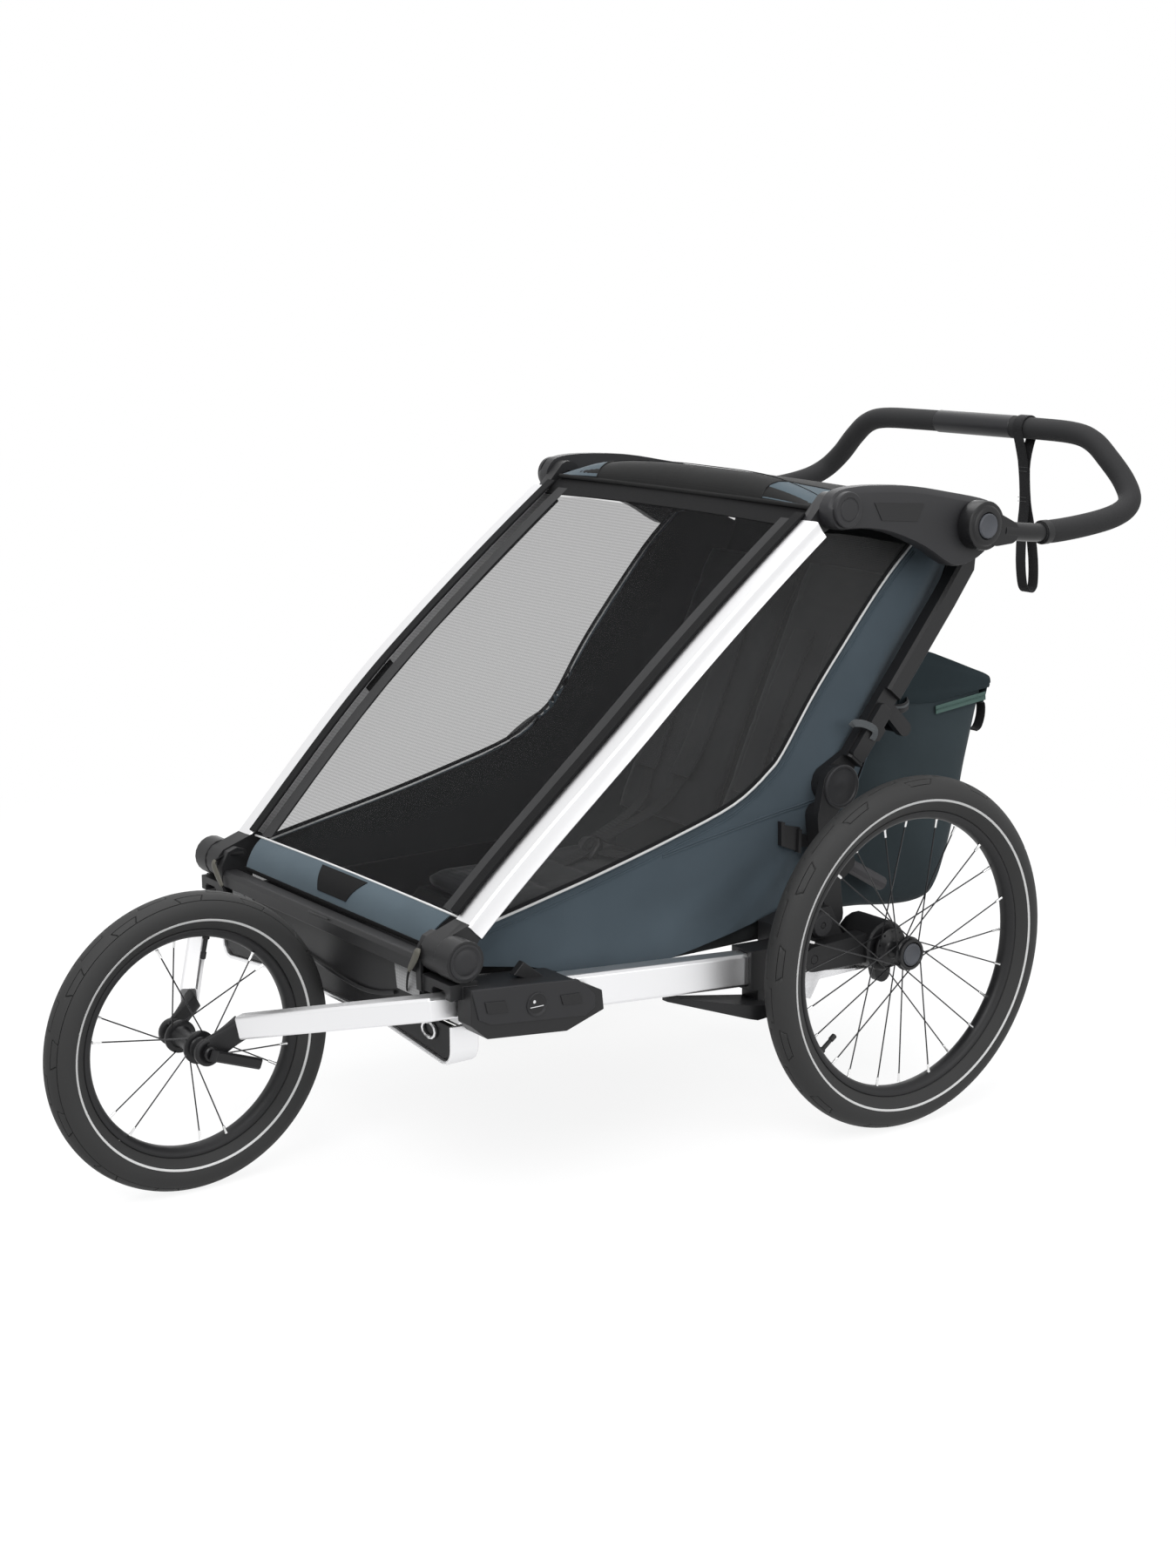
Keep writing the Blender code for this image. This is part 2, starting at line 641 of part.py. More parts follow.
def arm_sockets():
    """Casing round the rail's front, with the front hub's cheek, cap and pin in one casting."""
    front, rear = RAIL_FRONT_Y - 0.006, CASING_REAR_Y
    outline = [(front, rail_z(front) + 0.030), (rear - 0.042, rail_z(rear - 0.042) + 0.027),
               (rear, rail_z(rear) + 0.010), (rear + 0.003, rail_z(rear) - 0.016),
               (rear - 0.055, rail_z(rear) - 0.034), (front + 0.024, rail_z(front) - 0.037),
               (front, rail_z(front) - 0.016)]
    casing = prism("arm_socket_left", outline, CASING_IN_X, CASING_OUT_X, BLACK)
    y, z = FRONT_PIVOT
    tower_top = z - FOOT_EYE_R - 0.0015
    foot_z = rail_z(front) + 0.012
    lug = [(y - 0.023, foot_z), (y + 0.023, foot_z), (y + 0.025, z), (y + 0.014, z + 0.020),
           (y, z + 0.025), (y - 0.014, z + 0.020), (y - 0.025, z)]
    join(casing, prism("cheek", lug, CHEEK_IN_X, CHEEK_IN_X + CHEEK_WIDTH, BLACK))
    cap_in = PILLAR_FOOT_X + PILLAR_WIDTH + SEAT_GAP
    join(casing, disc("cap", FRONT_PIVOT, CAP_R, cap_in, CAP_OUT_X, BLACK, 20))
    join(casing, box("web", (CHEEK_IN_X + 0.001, y - 0.020, foot_z + 0.002),
                     (CAP_OUT_X - 0.004, y + 0.020, tower_top), BLACK))
    pin_in = CHEEK_IN_X + 0.002
    join(casing, disc("pin", FRONT_PIVOT, FRONT_PIN_R, pin_in, cap_in + 0.003, BLACK, 12))
    channel = [(RAIL_X, RAIL_FRONT_Y - 0.05, rail_z(RAIL_FRONT_Y - 0.05)),
               (RAIL_X, rear + 0.05, rail_z(rear + 0.05))]
    gap = 2 * SEAT_GAP
    section = box_section(RAIL_WIDTH + gap, RAIL_HEIGHT + gap, 0.004)
    combine(casing, sweep("channel", channel, section, BLACK))
    slot_half = STRAP_WIDTH / 2 + RUN_GAP
    slot_y, slot_top = y + STRAP_BACK, rail_z(y) - RAIL_HEIGHT / 2 + 0.002
    combine(casing, box("slot", (RAIL_X - STRAP_THICKNESS / 2 - RUN_GAP, slot_y - slot_half, 0.1),
                        (RAIL_X + STRAP_THICKNESS / 2 + RUN_GAP, slot_y + slot_half, slot_top), BLACK))
    recess_in = CASING_OUT_X - LOCK_RECESS_DEPTH
    combine(casing, disc("recess", ARM_LOCK, LOCK_RECESS_R, recess_in, CASING_OUT_X + 0.01, BLACK, 16))
    rail_out = RAIL_X + RAIL_WIDTH / 2
    combine(casing, disc("pin_hole", ARM_LOCK, LOCK_PIN_R + RUN_GAP, rail_out - 0.004,
                         recess_in + 0.01, BLACK, 12))
    mirrored(casing, "arm_socket_right")

    head_in = recess_in + SEAT_GAP
    lock = disc("arm_lock_left", ARM_LOCK, LOCK_R, head_in, head_in + LOCK_LENGTH, GREY, 16,
                pivot=(head_in, *ARM_LOCK))
    pin_in = RAIL_X + ARM_WIDTH / 2 + 2 * RUN_GAP
    join(lock, disc("pin", ARM_LOCK, LOCK_PIN_R, pin_in, head_in + 0.002, GREY, 12))
    mirrored(lock, "arm_lock_right")


def front_structure():
    """Cross beam between the front hubs, the bent crossbar under it, its plate and the ring."""
    half = CHEEK_IN_X - SEAT_GAP
    y, z = FRONT_PIVOT
    top = z - 0.006
    outline = [(y - 0.001, top), (y - BEAM_DEPTH + 0.004, top), (y - BEAM_DEPTH, top - 0.006),
               (y - BEAM_DEPTH, top - BEAM_HEIGHT), (y - 0.001, top - BEAM_HEIGHT)]
    prism("front_beam", outline, -half, half, BLACK)

    strap_y = FRONT_PIVOT[0] + STRAP_BACK
    socket_z = rail_z(strap_y - STRAP_WIDTH / 2) - RAIL_HEIGHT / 2 - 2 * LAYER_GAP
    inner = STRAP_BOTTOM_Z + STRAP_THICKNESS / 2
    corner = [(RAIL_X, strap_y, socket_z)]
    for i in range(5):
        turn = math.pi / 2 * i / 4
        corner.append((RAIL_X - STRAP_CORNER_R + STRAP_CORNER_R * math.cos(turn), strap_y,
                       inner + STRAP_CORNER_R - STRAP_CORNER_R * math.sin(turn)))
    corner.append((RAIL_X * 0.45, strap_y, inner + STRAP_CROWN))
    path = [(-x, y0, z0) for x, y0, z0 in corner]
    path += list(reversed(corner))
    flat = box_section(STRAP_WIDTH, STRAP_THICKNESS, 0.0015)
    sweep("front_crossbar", path, [(v, u) for u, v in flat], SILVER, up=Vector((0, 1, 0)))

    plate_half = RAIL_X - STRAP_THICKNESS / 2 - SEAT_GAP
    low = STRAP_BOTTOM_Z + STRAP_THICKNESS + SEAT_GAP
    plate_top = FLOOR_Z + 0.030
    bm = bmesh.new()
    side = [(0.0, low + STRAP_CROWN), (RAIL_X * 0.45, low + STRAP_CROWN),
            (plate_half - STRAP_CORNER_R, low + 0.001), (plate_half - 0.006, low + 0.007),
            (plate_half - 0.001, low + STRAP_CORNER_R), (plate_half - 0.001, plate_top)]
    ring = [(-x, z0) for x, z0 in reversed(side[1:])] + side
    front_y, back_y = strap_y - 0.016, strap_y - 0.008
    near = [bm.verts.new((x, front_y, z0)) for x, z0 in ring]
    far = [bm.verts.new((x, back_y, z0)) for x, z0 in ring]
    bm.faces.new(near)
    bm.faces.new(list(reversed(far)))
    for i in range(len(ring)):
        k = (i + 1) % len(ring)
        bm.faces.new((near[i], far[i], far[k], near[k]))
    make("skid_plate", bm, BLACK)

    ring_centre = Vector((RAIL_X - 0.052, front_y - RING_WIRE_R - SEAT_GAP, low + 0.032))
    loop = []
    for i in range(12):
        turn = 2 * math.pi * i / 12
        loop.append(ring_centre + Vector((0.015 * math.cos(turn), 0, 0.010 * math.sin(turn))))
    bm = bmesh.new()
    rings = []
    for point in loop:
        out = (point - ring_centre).normalized()
        ring = []
        for j in range(6):
            turn = 2 * math.pi * j / 6
            ring.append(bm.verts.new(point + out * RING_WIRE_R * math.sin(turn)
                                     + Vector((0, RING_WIRE_R * math.cos(turn), 0))))
        rings.append(ring)
    for i in range(12):
        ring, following = rings[i], rings[(i + 1) % 12]
        for j in range(6):
            k = (j + 1) % 6
            bm.faces.new((ring[j], ring[k], following[k], following[j]))
    make("tether_ring", bm, STEEL)


def cabin_tub():
    """Footwell and seat deck, open at the top."""
    y, z = FRONT_PIVOT
    rim_z = z - 0.006 - BEAM_HEIGHT - SEAT_GAP
    back_y = CROSS_TUBE[0] - CROSS_TUBE_R - 0.004
    outer = [(y - 0.012, rim_z), (y - 0.009, FLOOR_Z + 0.034), (y + 0.008, FLOOR_Z + 0.031),
             (y + 0.060, FLOOR_Z), (-0.440, FLOOR_Z), (-0.400, DECK_Z), (back_y, DECK_Z),
             (back_y, rim_z)]
    inner = [(y - 0.012 + TUB_WALL, rim_z + 0.02), (y - 0.009 + TUB_WALL, FLOOR_Z + 0.034 + TUB_WALL),
             (y + 0.009, FLOOR_Z + 0.031 + TUB_WALL),
             (y + 0.061, FLOOR_Z + TUB_WALL), (-0.442, FLOOR_Z + TUB_WALL),
             (-0.402, DECK_Z + TUB_WALL), (back_y + 0.02, DECK_Z + TUB_WALL),
             (back_y + 0.02, rim_z + 0.02)]
    half = CABIN_HALF
    tub = prism("cabin_tub", outer, -half, half, TUB)
    combine(tub, prism("hollow", inner, -half + TUB_WALL, half - TUB_WALL, TUB))


def rear_frame():
    """Cross tube with a casting at each end that takes a rail, an upright and a swing arm."""
    frame = disc("rear_frame", CROSS_TUBE, CROSS_TUBE_R, -UPRIGHT_IN_X - 0.01, UPRIGHT_IN_X + 0.01,
                 BLACK, 16)
    casting_in, casting_out = UPRIGHT_IN_X, SWING_ARM_X - SEAT_GAP
    rail_end = RAIL_REAR_Y
    for side in (1, -1):
        def piece(name, outline, x0, x1):
            low, high = sorted((side * x0, side * x1))
            return prism(name, outline, low, high, BLACK)
        bottom = CASTING_BOTTOM_Z + SEAT_GAP
        crown = DIAL[1] + 0.022
        casting = [(rail_end - 0.003, bottom), (-0.048, bottom), (-0.048, crown - 0.051), (-0.076, crown),
                   (-0.120, crown), (rail_end - 0.003, crown - 0.013)]
        join(frame, piece("casting", casting, casting_in, casting_out))
        sleeve = [(rail_end - 0.065, rail_z(rail_end - 0.065) - 0.028),
                  (rail_end - 0.065, rail_z(rail_end - 0.065) + 0.028),
                  (rail_end + 0.015, rail_z(rail_end) + 0.030),
                  (rail_end + 0.015, rail_z(rail_end) - 0.026)]
        join(frame, piece("sleeve", sleeve, RAIL_X - 0.021, RAIL_X + 0.021))
        stub_low = (FOLD_PIVOT[0] - 0.001, 0.292)
        stub_top = (FOLD_PIVOT[0] - 0.020, FOLD_PIVOT[1] - 0.042)
        stub = capsule_outline(stub_low, stub_top, 0.017, 0.016, 6)
        join(frame, piece("stub", stub, UPRIGHT_IN_X, UPRIGHT_OUT_X))
        half_lap = UPRIGHT_IN_X + UPRIGHT_WIDTH / 2 + RUN_GAP
        boss = capsule_outline(stub_top, FOLD_PIVOT, 0.0155, 0.027)
        join(frame, piece("boss", boss, half_lap, UPRIGHT_OUT_X))
        pin = disc_outline(FOLD_PIVOT, PIVOT_PIN_R, 12)
        join(frame, piece("pin", pin, UPRIGHT_IN_X + 0.001, half_lap + 0.003))
        step = [(rail_end - 0.188, 0.232), (rail_end - 0.040, 0.206), (rail_end - 0.036, 0.192),
                (rail_end - 0.070, 0.190), (rail_end - 0.188, 0.226)]
        plate = piece("step", step, RAIL_X - 0.016, CASING_OUT_X - 0.003)
        slant = bmesh.new()
        apex = RAIL_X - 0.006
        points = [(apex, rail_end - 0.19), (CASING_OUT_X + 0.002, rail_end - 0.075),
                  (CASING_OUT_X + 0.05, rail_end - 0.075), (CASING_OUT_X + 0.05, rail_end - 0.25),
                  (apex - 0.03, rail_end - 0.25)]
        low = [slant.verts.new((side * x, y0, 0.15)) for x, y0 in points]
        high = [slant.verts.new((side * x, y0, 0.26)) for x, y0 in points]
        slant.faces.new(low)
        slant.faces.new(high)
        for i in range(len(points)):
            k = (i + 1) % len(points)
            slant.faces.new((low[i], low[k], high[k], high[i]))
        combine(plate, make("slant", slant, BLACK))
        join(frame, plate)
        hanger = [(rail_end - 0.050, 0.196), (rail_end - 0.050, 0.232), (rail_end - 0.005, 0.232),
                  (rail_end - 0.040, 0.196)]
        join(frame, piece("hanger", hanger, RAIL_X - 0.016, RAIL_X + 0.018))
        swing = disc_outline(SWING_PIVOT, PIVOT_PIN_R, 12)
        join(frame, piece("swing_pin", swing, casting_out - 0.004, SWING_ARM_X + SWING_ARM_WIDTH))
        dial_pin = disc_outline(DIAL, DIAL_PIN_R, 12)
        join(frame, piece("dial_pin", dial_pin, casting_out - 0.004, casting_out + DIAL_WIDTH))
        channel = [(side * RAIL_X, rail_end - 0.10, rail_z(rail_end - 0.10)),
                   (side * RAIL_X, rail_end + SEAT_GAP, rail_z(rail_end))]
        gap = 2 * SEAT_GAP
        section = box_section(RAIL_WIDTH + gap, RAIL_HEIGHT + gap, 0.004)
        combine(frame, sweep("channel", channel, section, BLACK))
    plate_in = BRAKE_PIVOT[0] + BRAKE_R + RUN_GAP
    pivot = (BRAKE_PIVOT[1], BRAKE_PIVOT[2])
    plate = capsule_outline(CROSS_TUBE, pivot, 0.0085, 0.0125, 6)
    join(frame, prism("brake_arm", plate, plate_in, plate_in + 0.008, BLACK))
    pin_in = BRAKE_PIVOT[0] - BRAKE_R + 0.001
    join(frame, disc("brake_pin", pivot, BRAKE_PIN_R, pin_in, plate_in + 0.002, BLACK, 12))


def dials():
    """Suspension dials on the castings."""
    x0 = SWING_ARM_X
    bore = DIAL_PIN_R + RUN_GAP
    profile = [(0, bore), (0, DIAL_R), (DIAL_WIDTH * 0.6, DIAL_R),
               (DIAL_WIDTH, DIAL_R - 0.003), (DIAL_WIDTH, bore)]
    dial = lathe("suspension_dial_left", profile, (x0, *DIAL), GREY, 14, pivot=(x0, *DIAL))
    mirrored(dial, "suspension_dial_right")


def swing_arms():
    """Swing arm with the stub axle, the brake drum behind the wheel and the leaf spring under it."""
    x0, x1 = SWING_ARM_X, SWING_ARM_X + SWING_ARM_WIDTH
    axle = (0.0, REAR_TYRE_R)
    pivot = (x0, *SWING_PIVOT)
    arm = prism("swing_arm_left", capsule_outline(SWING_PIVOT, axle, 0.018, 0.022), x0, x1, BLACK, pivot)
    lobe = capsule_outline((0.002, axle[1] - 0.003), (0.010, axle[1] - 0.044), 0.018, 0.014)
    join(arm, prism("lobe", lobe, x0 + 0.004, x1 - 0.006, BLACK))
    hole = disc("hole", SWING_PIVOT, PIVOT_PIN_R + RUN_GAP, x0 - 0.01, x1 + 0.01, BLACK, 12)
    combine(arm, hole)
    tip = HUB_IN_X + HUB_LENGTH - WHEEL_BUTTON_LENGTH - WHEEL_BUTTON_TRAVEL - 0.001
    shell_out = HUB_IN_X - 0.001
    join(arm, disc("axle", axle, AXLE_R, x1 - 0.004, tip, BLACK, 12))
    profile = [(DRUM_IN_X, 0), (DRUM_IN_X, DRUM_R - 0.003), (DRUM_IN_X + 0.003, DRUM_R),
               (shell_out - 0.003, DRUM_R), (shell_out, DRUM_R - 0.003), (shell_out, 0)]
    join(arm, lathe("drum", profile, (0, *axle), BLACK, 18))
    mirrored(arm, "swing_arm_right")

    leaf_x = SWING_ARM_X - 0.004 - LEAF_WIDTH
    base_z = CASTING_BOTTOM_Z
    tip_z = REAR_TYRE_R - DRUM_R - SEAT_GAP
    front, thick = RAIL_REAR_Y + 0.018, LEAF_THICKNESS
    outline = [(front, base_z), (front, base_z - thick), (-0.128, base_z - thick - 0.001),
               (-0.120, 0.188), (-0.106, 0.183), (-0.090, 0.209), (-0.035, tip_z - thick),
               (0.012, tip_z - thick), (0.014, tip_z - 0.001), (0.012, tip_z), (-0.028, tip_z),
               (-0.080, 0.2205), (-0.118, base_z)]
    leaf = prism("leaf_spring_left", outline, leaf_x, leaf_x + LEAF_WIDTH, SILVER)
    mirrored(leaf, "leaf_spring_right")


def brake_lever():
    """Parking brake lever behind the cabin."""
    drop = math.radians(BRAKE_DROP_DEG)
    run = Vector((0, math.cos(drop), -math.sin(drop)))
    root = Vector(BRAKE_PIVOT)
    path = [root + run * 0.004, root + run * BRAKE_LENGTH]
    lever = sweep("brake_lever", path, round_section(BRAKE_R, 10), BROWN, pivot=BRAKE_PIVOT)
    x0, x1 = BRAKE_PIVOT[0] - BRAKE_R, BRAKE_PIVOT[0] + BRAKE_R
    centre = (BRAKE_PIVOT[1], BRAKE_PIVOT[2])
    join(lever, disc("eye", centre, 0.013, x0, x1, BROWN, 16))
    combine(lever, disc("hole", centre, BRAKE_PIN_R + RUN_GAP, x0 - 0.01, x1 + 0.01, BROWN, 12))


def pillar_point(s):
    """Centre line of a pillar at a share s of the way from the front pivot to the top pivot."""
    foot, head = Vector(FRONT_PIVOT), Vector(TOP_PIVOT)
    chord = head - foot
    normal = Vector((-chord.y, chord.x)).normalized()
    offset = -PILLAR_FOOT_DROP * (1 - s) + PILLAR_BOW * 4 * s * (1 - s)
    return foot + chord * s + normal * offset


def pillar_in_x(s):
    """Inner face of a pillar: it flares out from the foot."""
    return PILLAR_FOOT_X + (PILLAR_TOP_X - PILLAR_FOOT_X) * smooth(s / 0.5)


def pillar_normal(s):
    """Unit normal of the pillar line in the side view, up and forwards."""
    along = (pillar_point(s + 0.01) - pillar_point(s - 0.01)).normalized()
    return Vector((-along.y, along.x))


def pillars():
    """Bowed aluminium pillars with an eye at each end."""
    chord = (Vector(TOP_PIVOT) - Vector(FRONT_PIVOT)).length
    first, last = PILLAR_SILVER_END / chord, 1 - PILLAR_SILVER_END / chord
    w, d = PILLAR_WIDTH, PILLAR_DEPTH / 2
    section = [(0, d - 0.007), (0.012, d), (w - 0.005, d - 0.007), (w, -d + 0.006),
               (w - 0.006, -d), (0.004, -d), (0, -d + 0.005)]
    bm = bmesh.new()
    rings = []
    steps = 8
    for i in range(steps + 1):
        s = first + (last - first) * i / steps
        centre, normal, inner = pillar_point(s), pillar_normal(s), pillar_in_x(s)
        rings.append([bm.verts.new((inner + u, centre.x + normal.x * v, centre.y + normal.y * v))
                      for u, v in section])
    for ring, following in zip(rings, rings[1:]):
        for j in range(len(section)):
            k = (j + 1) % len(section)
            bm.faces.new((ring[j], ring[k], following[k], following[j]))
    bm.faces.new(rings[0])
    bm.faces.new(rings[-1])
    pillar = make("pillar_left", bm, SILVER, pivot=(PILLAR_FOOT_X, *FRONT_PIVOT))
    foot_x = (PILLAR_FOOT_X, PILLAR_FOOT_X + PILLAR_WIDTH - 0.0005)
    near_foot = pillar_point(first * 1.15)
    foot = capsule_outline(FRONT_PIVOT, near_foot, FOOT_EYE_R, 0.0115)
    join(pillar, prism("foot", foot, foot_x[0] + 0.0002, foot_x[1], SILVER))
    near_top = pillar_point(1 - (1 - last) * 1.25)
    top = capsule_outline(near_top, TOP_PIVOT, 0.0115, TOP_EYE_R)
    join(pillar, prism("top", top, PILLAR_TOP_X + 0.0002, PILLAR_TOP_X + TOP_EYE_WIDTH, SILVER))
    combine(pillar, disc("foot_bore", FRONT_PIVOT, FRONT_PIN_R + RUN_GAP, 0.2, 0.4, SILVER, 12))
    combine(pillar, disc("top_bore", TOP_PIVOT, PIVOT_PIN_R + RUN_GAP, 0.2, 0.4, SILVER, 12))
    mirrored(pillar, "pillar_right")


COVER_FOOT_S = 0.036       # the cover's lower hem, as a share of the pillar
COVER_TOP_S = 0.968
COVER_CROWN = 0.006


def front_cover():
    """Mesh cover between the pillars, with its hem over the cross beam."""
    rows = []
    steps = 12
    across = 8
    for i in range(steps + 1):
        s = COVER_FOOT_S + (COVER_TOP_S - COVER_FOOT_S) * i / steps
        centre, normal = pillar_point(s), pillar_normal(s)
        taper = 0.020 * (1 - smooth(s / 0.08))
        half = pillar_in_x(s) - CLOTH_GAP - taper
        row = []
        for j in range(across + 1):
            t = 2 * j / across - 1
            lift = PILLAR_DEPTH / 2 - 0.007 + COVER_CROWN * (1 - t * t)
            row.append(Vector((half * t, centre.x + normal.x * lift, centre.y + normal.y * lift)))
        rows.append(row)
    rows.reverse()
    slab("front_cover", rows, CLOTH, MESH)


LINK_TOP = [(-0.121, 0.872), (-0.108, 0.888), (-0.080, 0.894), (-0.030, 0.894), (0.035, 0.889),
            (0.099, 0.878), (0.160, 0.866)]
LINK_BOTTOM = [(0.190, 0.854), (0.190, 0.818), (0.165, 0.790), (0.130, 0.776), (0.100, 0.778),
               (0.050, 0.806), (-0.010, 0.829), (-0.060, 0.838), (-0.108, 0.840), (-0.121, 0.858)]


def roof_frame():
    """The two side links, tied by the bar under the back of the roof."""
    outline = LINK_TOP + LINK_BOTTOM
    frame = disc("roof_frame", ROOF_BAR, ROOF_BAR_R, -LINK_IN_X - 0.004, LINK_IN_X + 0.004, BLACK, 10,
                 pivot=(0, *TOP_PIVOT))
    for side in (1, -1):
        def piece(name, shape, x0, x1):
            low, high = sorted((side * x0, side * x1))
            return prism(name, shape, low, high, BLACK)
        join(frame, piece("link", outline, LINK_IN_X, LINK_OUT_X))
        pin = disc_outline(TOP_PIVOT, PIVOT_PIN_R, 12)
        join(frame, piece("pin", pin, PILLAR_TOP_X + 0.001, LINK_IN_X + 0.003))
        boss = disc_outline(LINK_PIVOT, 0.014, 12)
        join(frame, piece("boss", boss, UPRIGHT_OUT_X + SEAT_GAP, LINK_IN_X + 0.002))
        stub = disc_outline(HANDLE_PIVOT, 0.010, 12)
        join(frame, piece("stub", stub, LINK_OUT_X - 0.003, KNUCKLE_IN_X + 0.006))
        cap = disc_outline(TOP_PIVOT, LINK_HUB_R - 0.003, 20)
        join(frame, piece("cap", cap, LINK_OUT_X - 0.003, LINK_OUT_X + 0.005))


def roof_z(x, y, half):
    """Height of the roof's outer face."""
    centre = ROOF_CREST[1] - ROOF_FALL * max(0.0, y - ROOF_CREST[0])
    drop = 0.032 - 0.027 * smooth((y + 0.106) / 0.25)
    return centre - drop * abs(x / half) ** 3.5


def roof_panel():
    """Cloth roof between the links."""
    rows = []
    front, back = ROOF_FRONT_Y, ROOF_BAR[0] - ROOF_BAR_R - CLOTH_GAP
    for i in range(8):
        y = front + (back - front) * i / 7
        half = 0.287 + (LINK_IN_X - CLOTH_GAP - 0.287) * smooth((y + 0.075) / 0.03)
        row = []
        for j in range(13):
            x = half * (j / 6 - 1)
            row.append(Vector((x, y, roof_z(x, y, half))))
        rows.append(row)
    rows.reverse()
    slab("roof_panel", rows, CLOTH, ROOF)


UPRIGHT_PATH = [FOLD_PIVOT, (-0.022, 0.508), (0.030, 0.572), (0.078, 0.631), (0.150, 0.720),
                (0.183, 0.764), (0.186, 0.795), LINK_PIVOT]
UPRIGHT_BAR = (0.084, 0.540)


def latch_outline(corners):
    """Points given along and across the lower upright, as (y, z)."""
    start = Vector(UPRIGHT_PATH[1])
    along = (Vector(UPRIGHT_PATH[2]) - start).normalized()
    back = Vector((along.y, -along.x))
    return [tuple(start + along * a + back * b) for a, b in corners]


def uprights():
    """Rear uprights, tied by the bar that carries the bag."""
    frame = disc("upright_frame", UPRIGHT_BAR, UPRIGHT_BAR_R, -UPRIGHT_IN_X - 0.003, UPRIGHT_IN_X + 0.003,
                 BLACK, 12, pivot=(0, *FOLD_PIVOT))
    half_lap = UPRIGHT_IN_X + UPRIGHT_WIDTH / 2 - RUN_GAP
    middle = UPRIGHT_IN_X + UPRIGHT_WIDTH / 2
    for side in (1, -1):
        def piece(name, shape, x0, x1):
            low, high = sorted((side * x0, side * x1))
            return prism(name, shape, low, high, BLACK)
        path = [(side * middle, y, z) for y, z in UPRIGHT_PATH[1:-1]]
        section = box_section(UPRIGHT_WIDTH, UPRIGHT_DEPTH, 0.004)
        member = sweep("member", path, section, BLACK, up=Vector((0, -1, 0.8)))
        eye = capsule_outline(FOLD_PIVOT, UPRIGHT_PATH[1], 0.026, 0.015)
        eye = piece("eye", eye, UPRIGHT_IN_X + 0.0002, half_lap)
        join(member, eye)
        top = capsule_outline(UPRIGHT_PATH[-2], LINK_PIVOT, 0.0155, 0.014)
        join(member, piece("top", top, UPRIGHT_IN_X + 0.0002, UPRIGHT_OUT_X - 0.0002))
        lug = capsule_outline((0.040, 0.584), UPRIGHT_BAR, 0.010, 0.011, 6)
        join(member, piece("lug", lug, UPRIGHT_IN_X + 0.0004, UPRIGHT_IN_X + 0.012))
        bore = disc_outline(FOLD_PIVOT, PIVOT_PIN_R + RUN_GAP, 12)
        combine(member, piece("bore", bore, UPRIGHT_IN_X - 0.01, UPRIGHT_OUT_X + 0.01))
        ends = (LATCH_START - RUN_GAP, LATCH_START + LATCH_LENGTH + LATCH_TRAVEL + RUN_GAP)
        pocket = [(ends[0], -0.03), (ends[1], -0.03), (ends[1], 0.03), (ends[0], 0.03)]
        pocket = latch_outline(pocket)
        combine(member, piece("pocket", pocket, UPRIGHT_OUT_X - LATCH_THICKNESS, UPRIGHT_OUT_X + 0.01))
        join(frame, member)


def fold_latches():
    """Sliding latches, let into the outer faces of the uprights."""
    half = LATCH_DEPTH / 2
    corners = [(0, -half + 0.003), (0.004, -half), (LATCH_LENGTH - 0.004, -half),
               (LATCH_LENGTH, -half + 0.004), (LATCH_LENGTH, half - 0.006), (LATCH_LENGTH - 0.010, half),
               (LATCH_LENGTH - 0.026, half), (LATCH_LENGTH - 0.028, half + 0.005),
               (LATCH_LENGTH - 0.046, half + 0.005), (LATCH_LENGTH - 0.050, half), (0.004, half),
               (0, half - 0.003)]
    outline = latch_outline([(a + LATCH_START, b) for a, b in corners])
    base = latch_outline([(LATCH_START, 0)])[0]
    low = UPRIGHT_OUT_X - LATCH_THICKNESS + SEAT_GAP
    latch = prism("fold_latch_left", outline, low, UPRIGHT_OUT_X, BLACK, pivot=(low, *base))
    mirrored(latch, "fold_latch_right")


def handle_route(side):
    """Half of the bent bar, from its knuckle to the middle."""
    x = KNUCKLE_IN_X + HANDLE_TUBE_R + SEAT_GAP
    y, z = HANDLE_REAR_Y, HANDLE_TOP_Z
    route = [(x, HANDLE_PIVOT[0] + 0.036, 0.8220), (x, 0.260, 0.8135), (x - 0.004, 0.350, 0.8165),
             (x - 0.008, 0.425, 0.8265), (x - 0.018, 0.464, 0.8430), (x - 0.042, y, 0.8690),
             (x - 0.075, y, 0.9010), (x - 0.106, y, 0.9240), (x - 0.146, y, z - 0.002), (0.120, y, z)]
    return [(side * px, py, pz) for px, py, pz in route]


def full_route():
    """The whole bar from the left knuckle to the right one."""
    left, right = handle_route(1), handle_route(-1)
    return smooth_path(left + [(0.0, HANDLE_REAR_Y, HANDLE_TOP_Z)] + list(reversed(right)), 2)


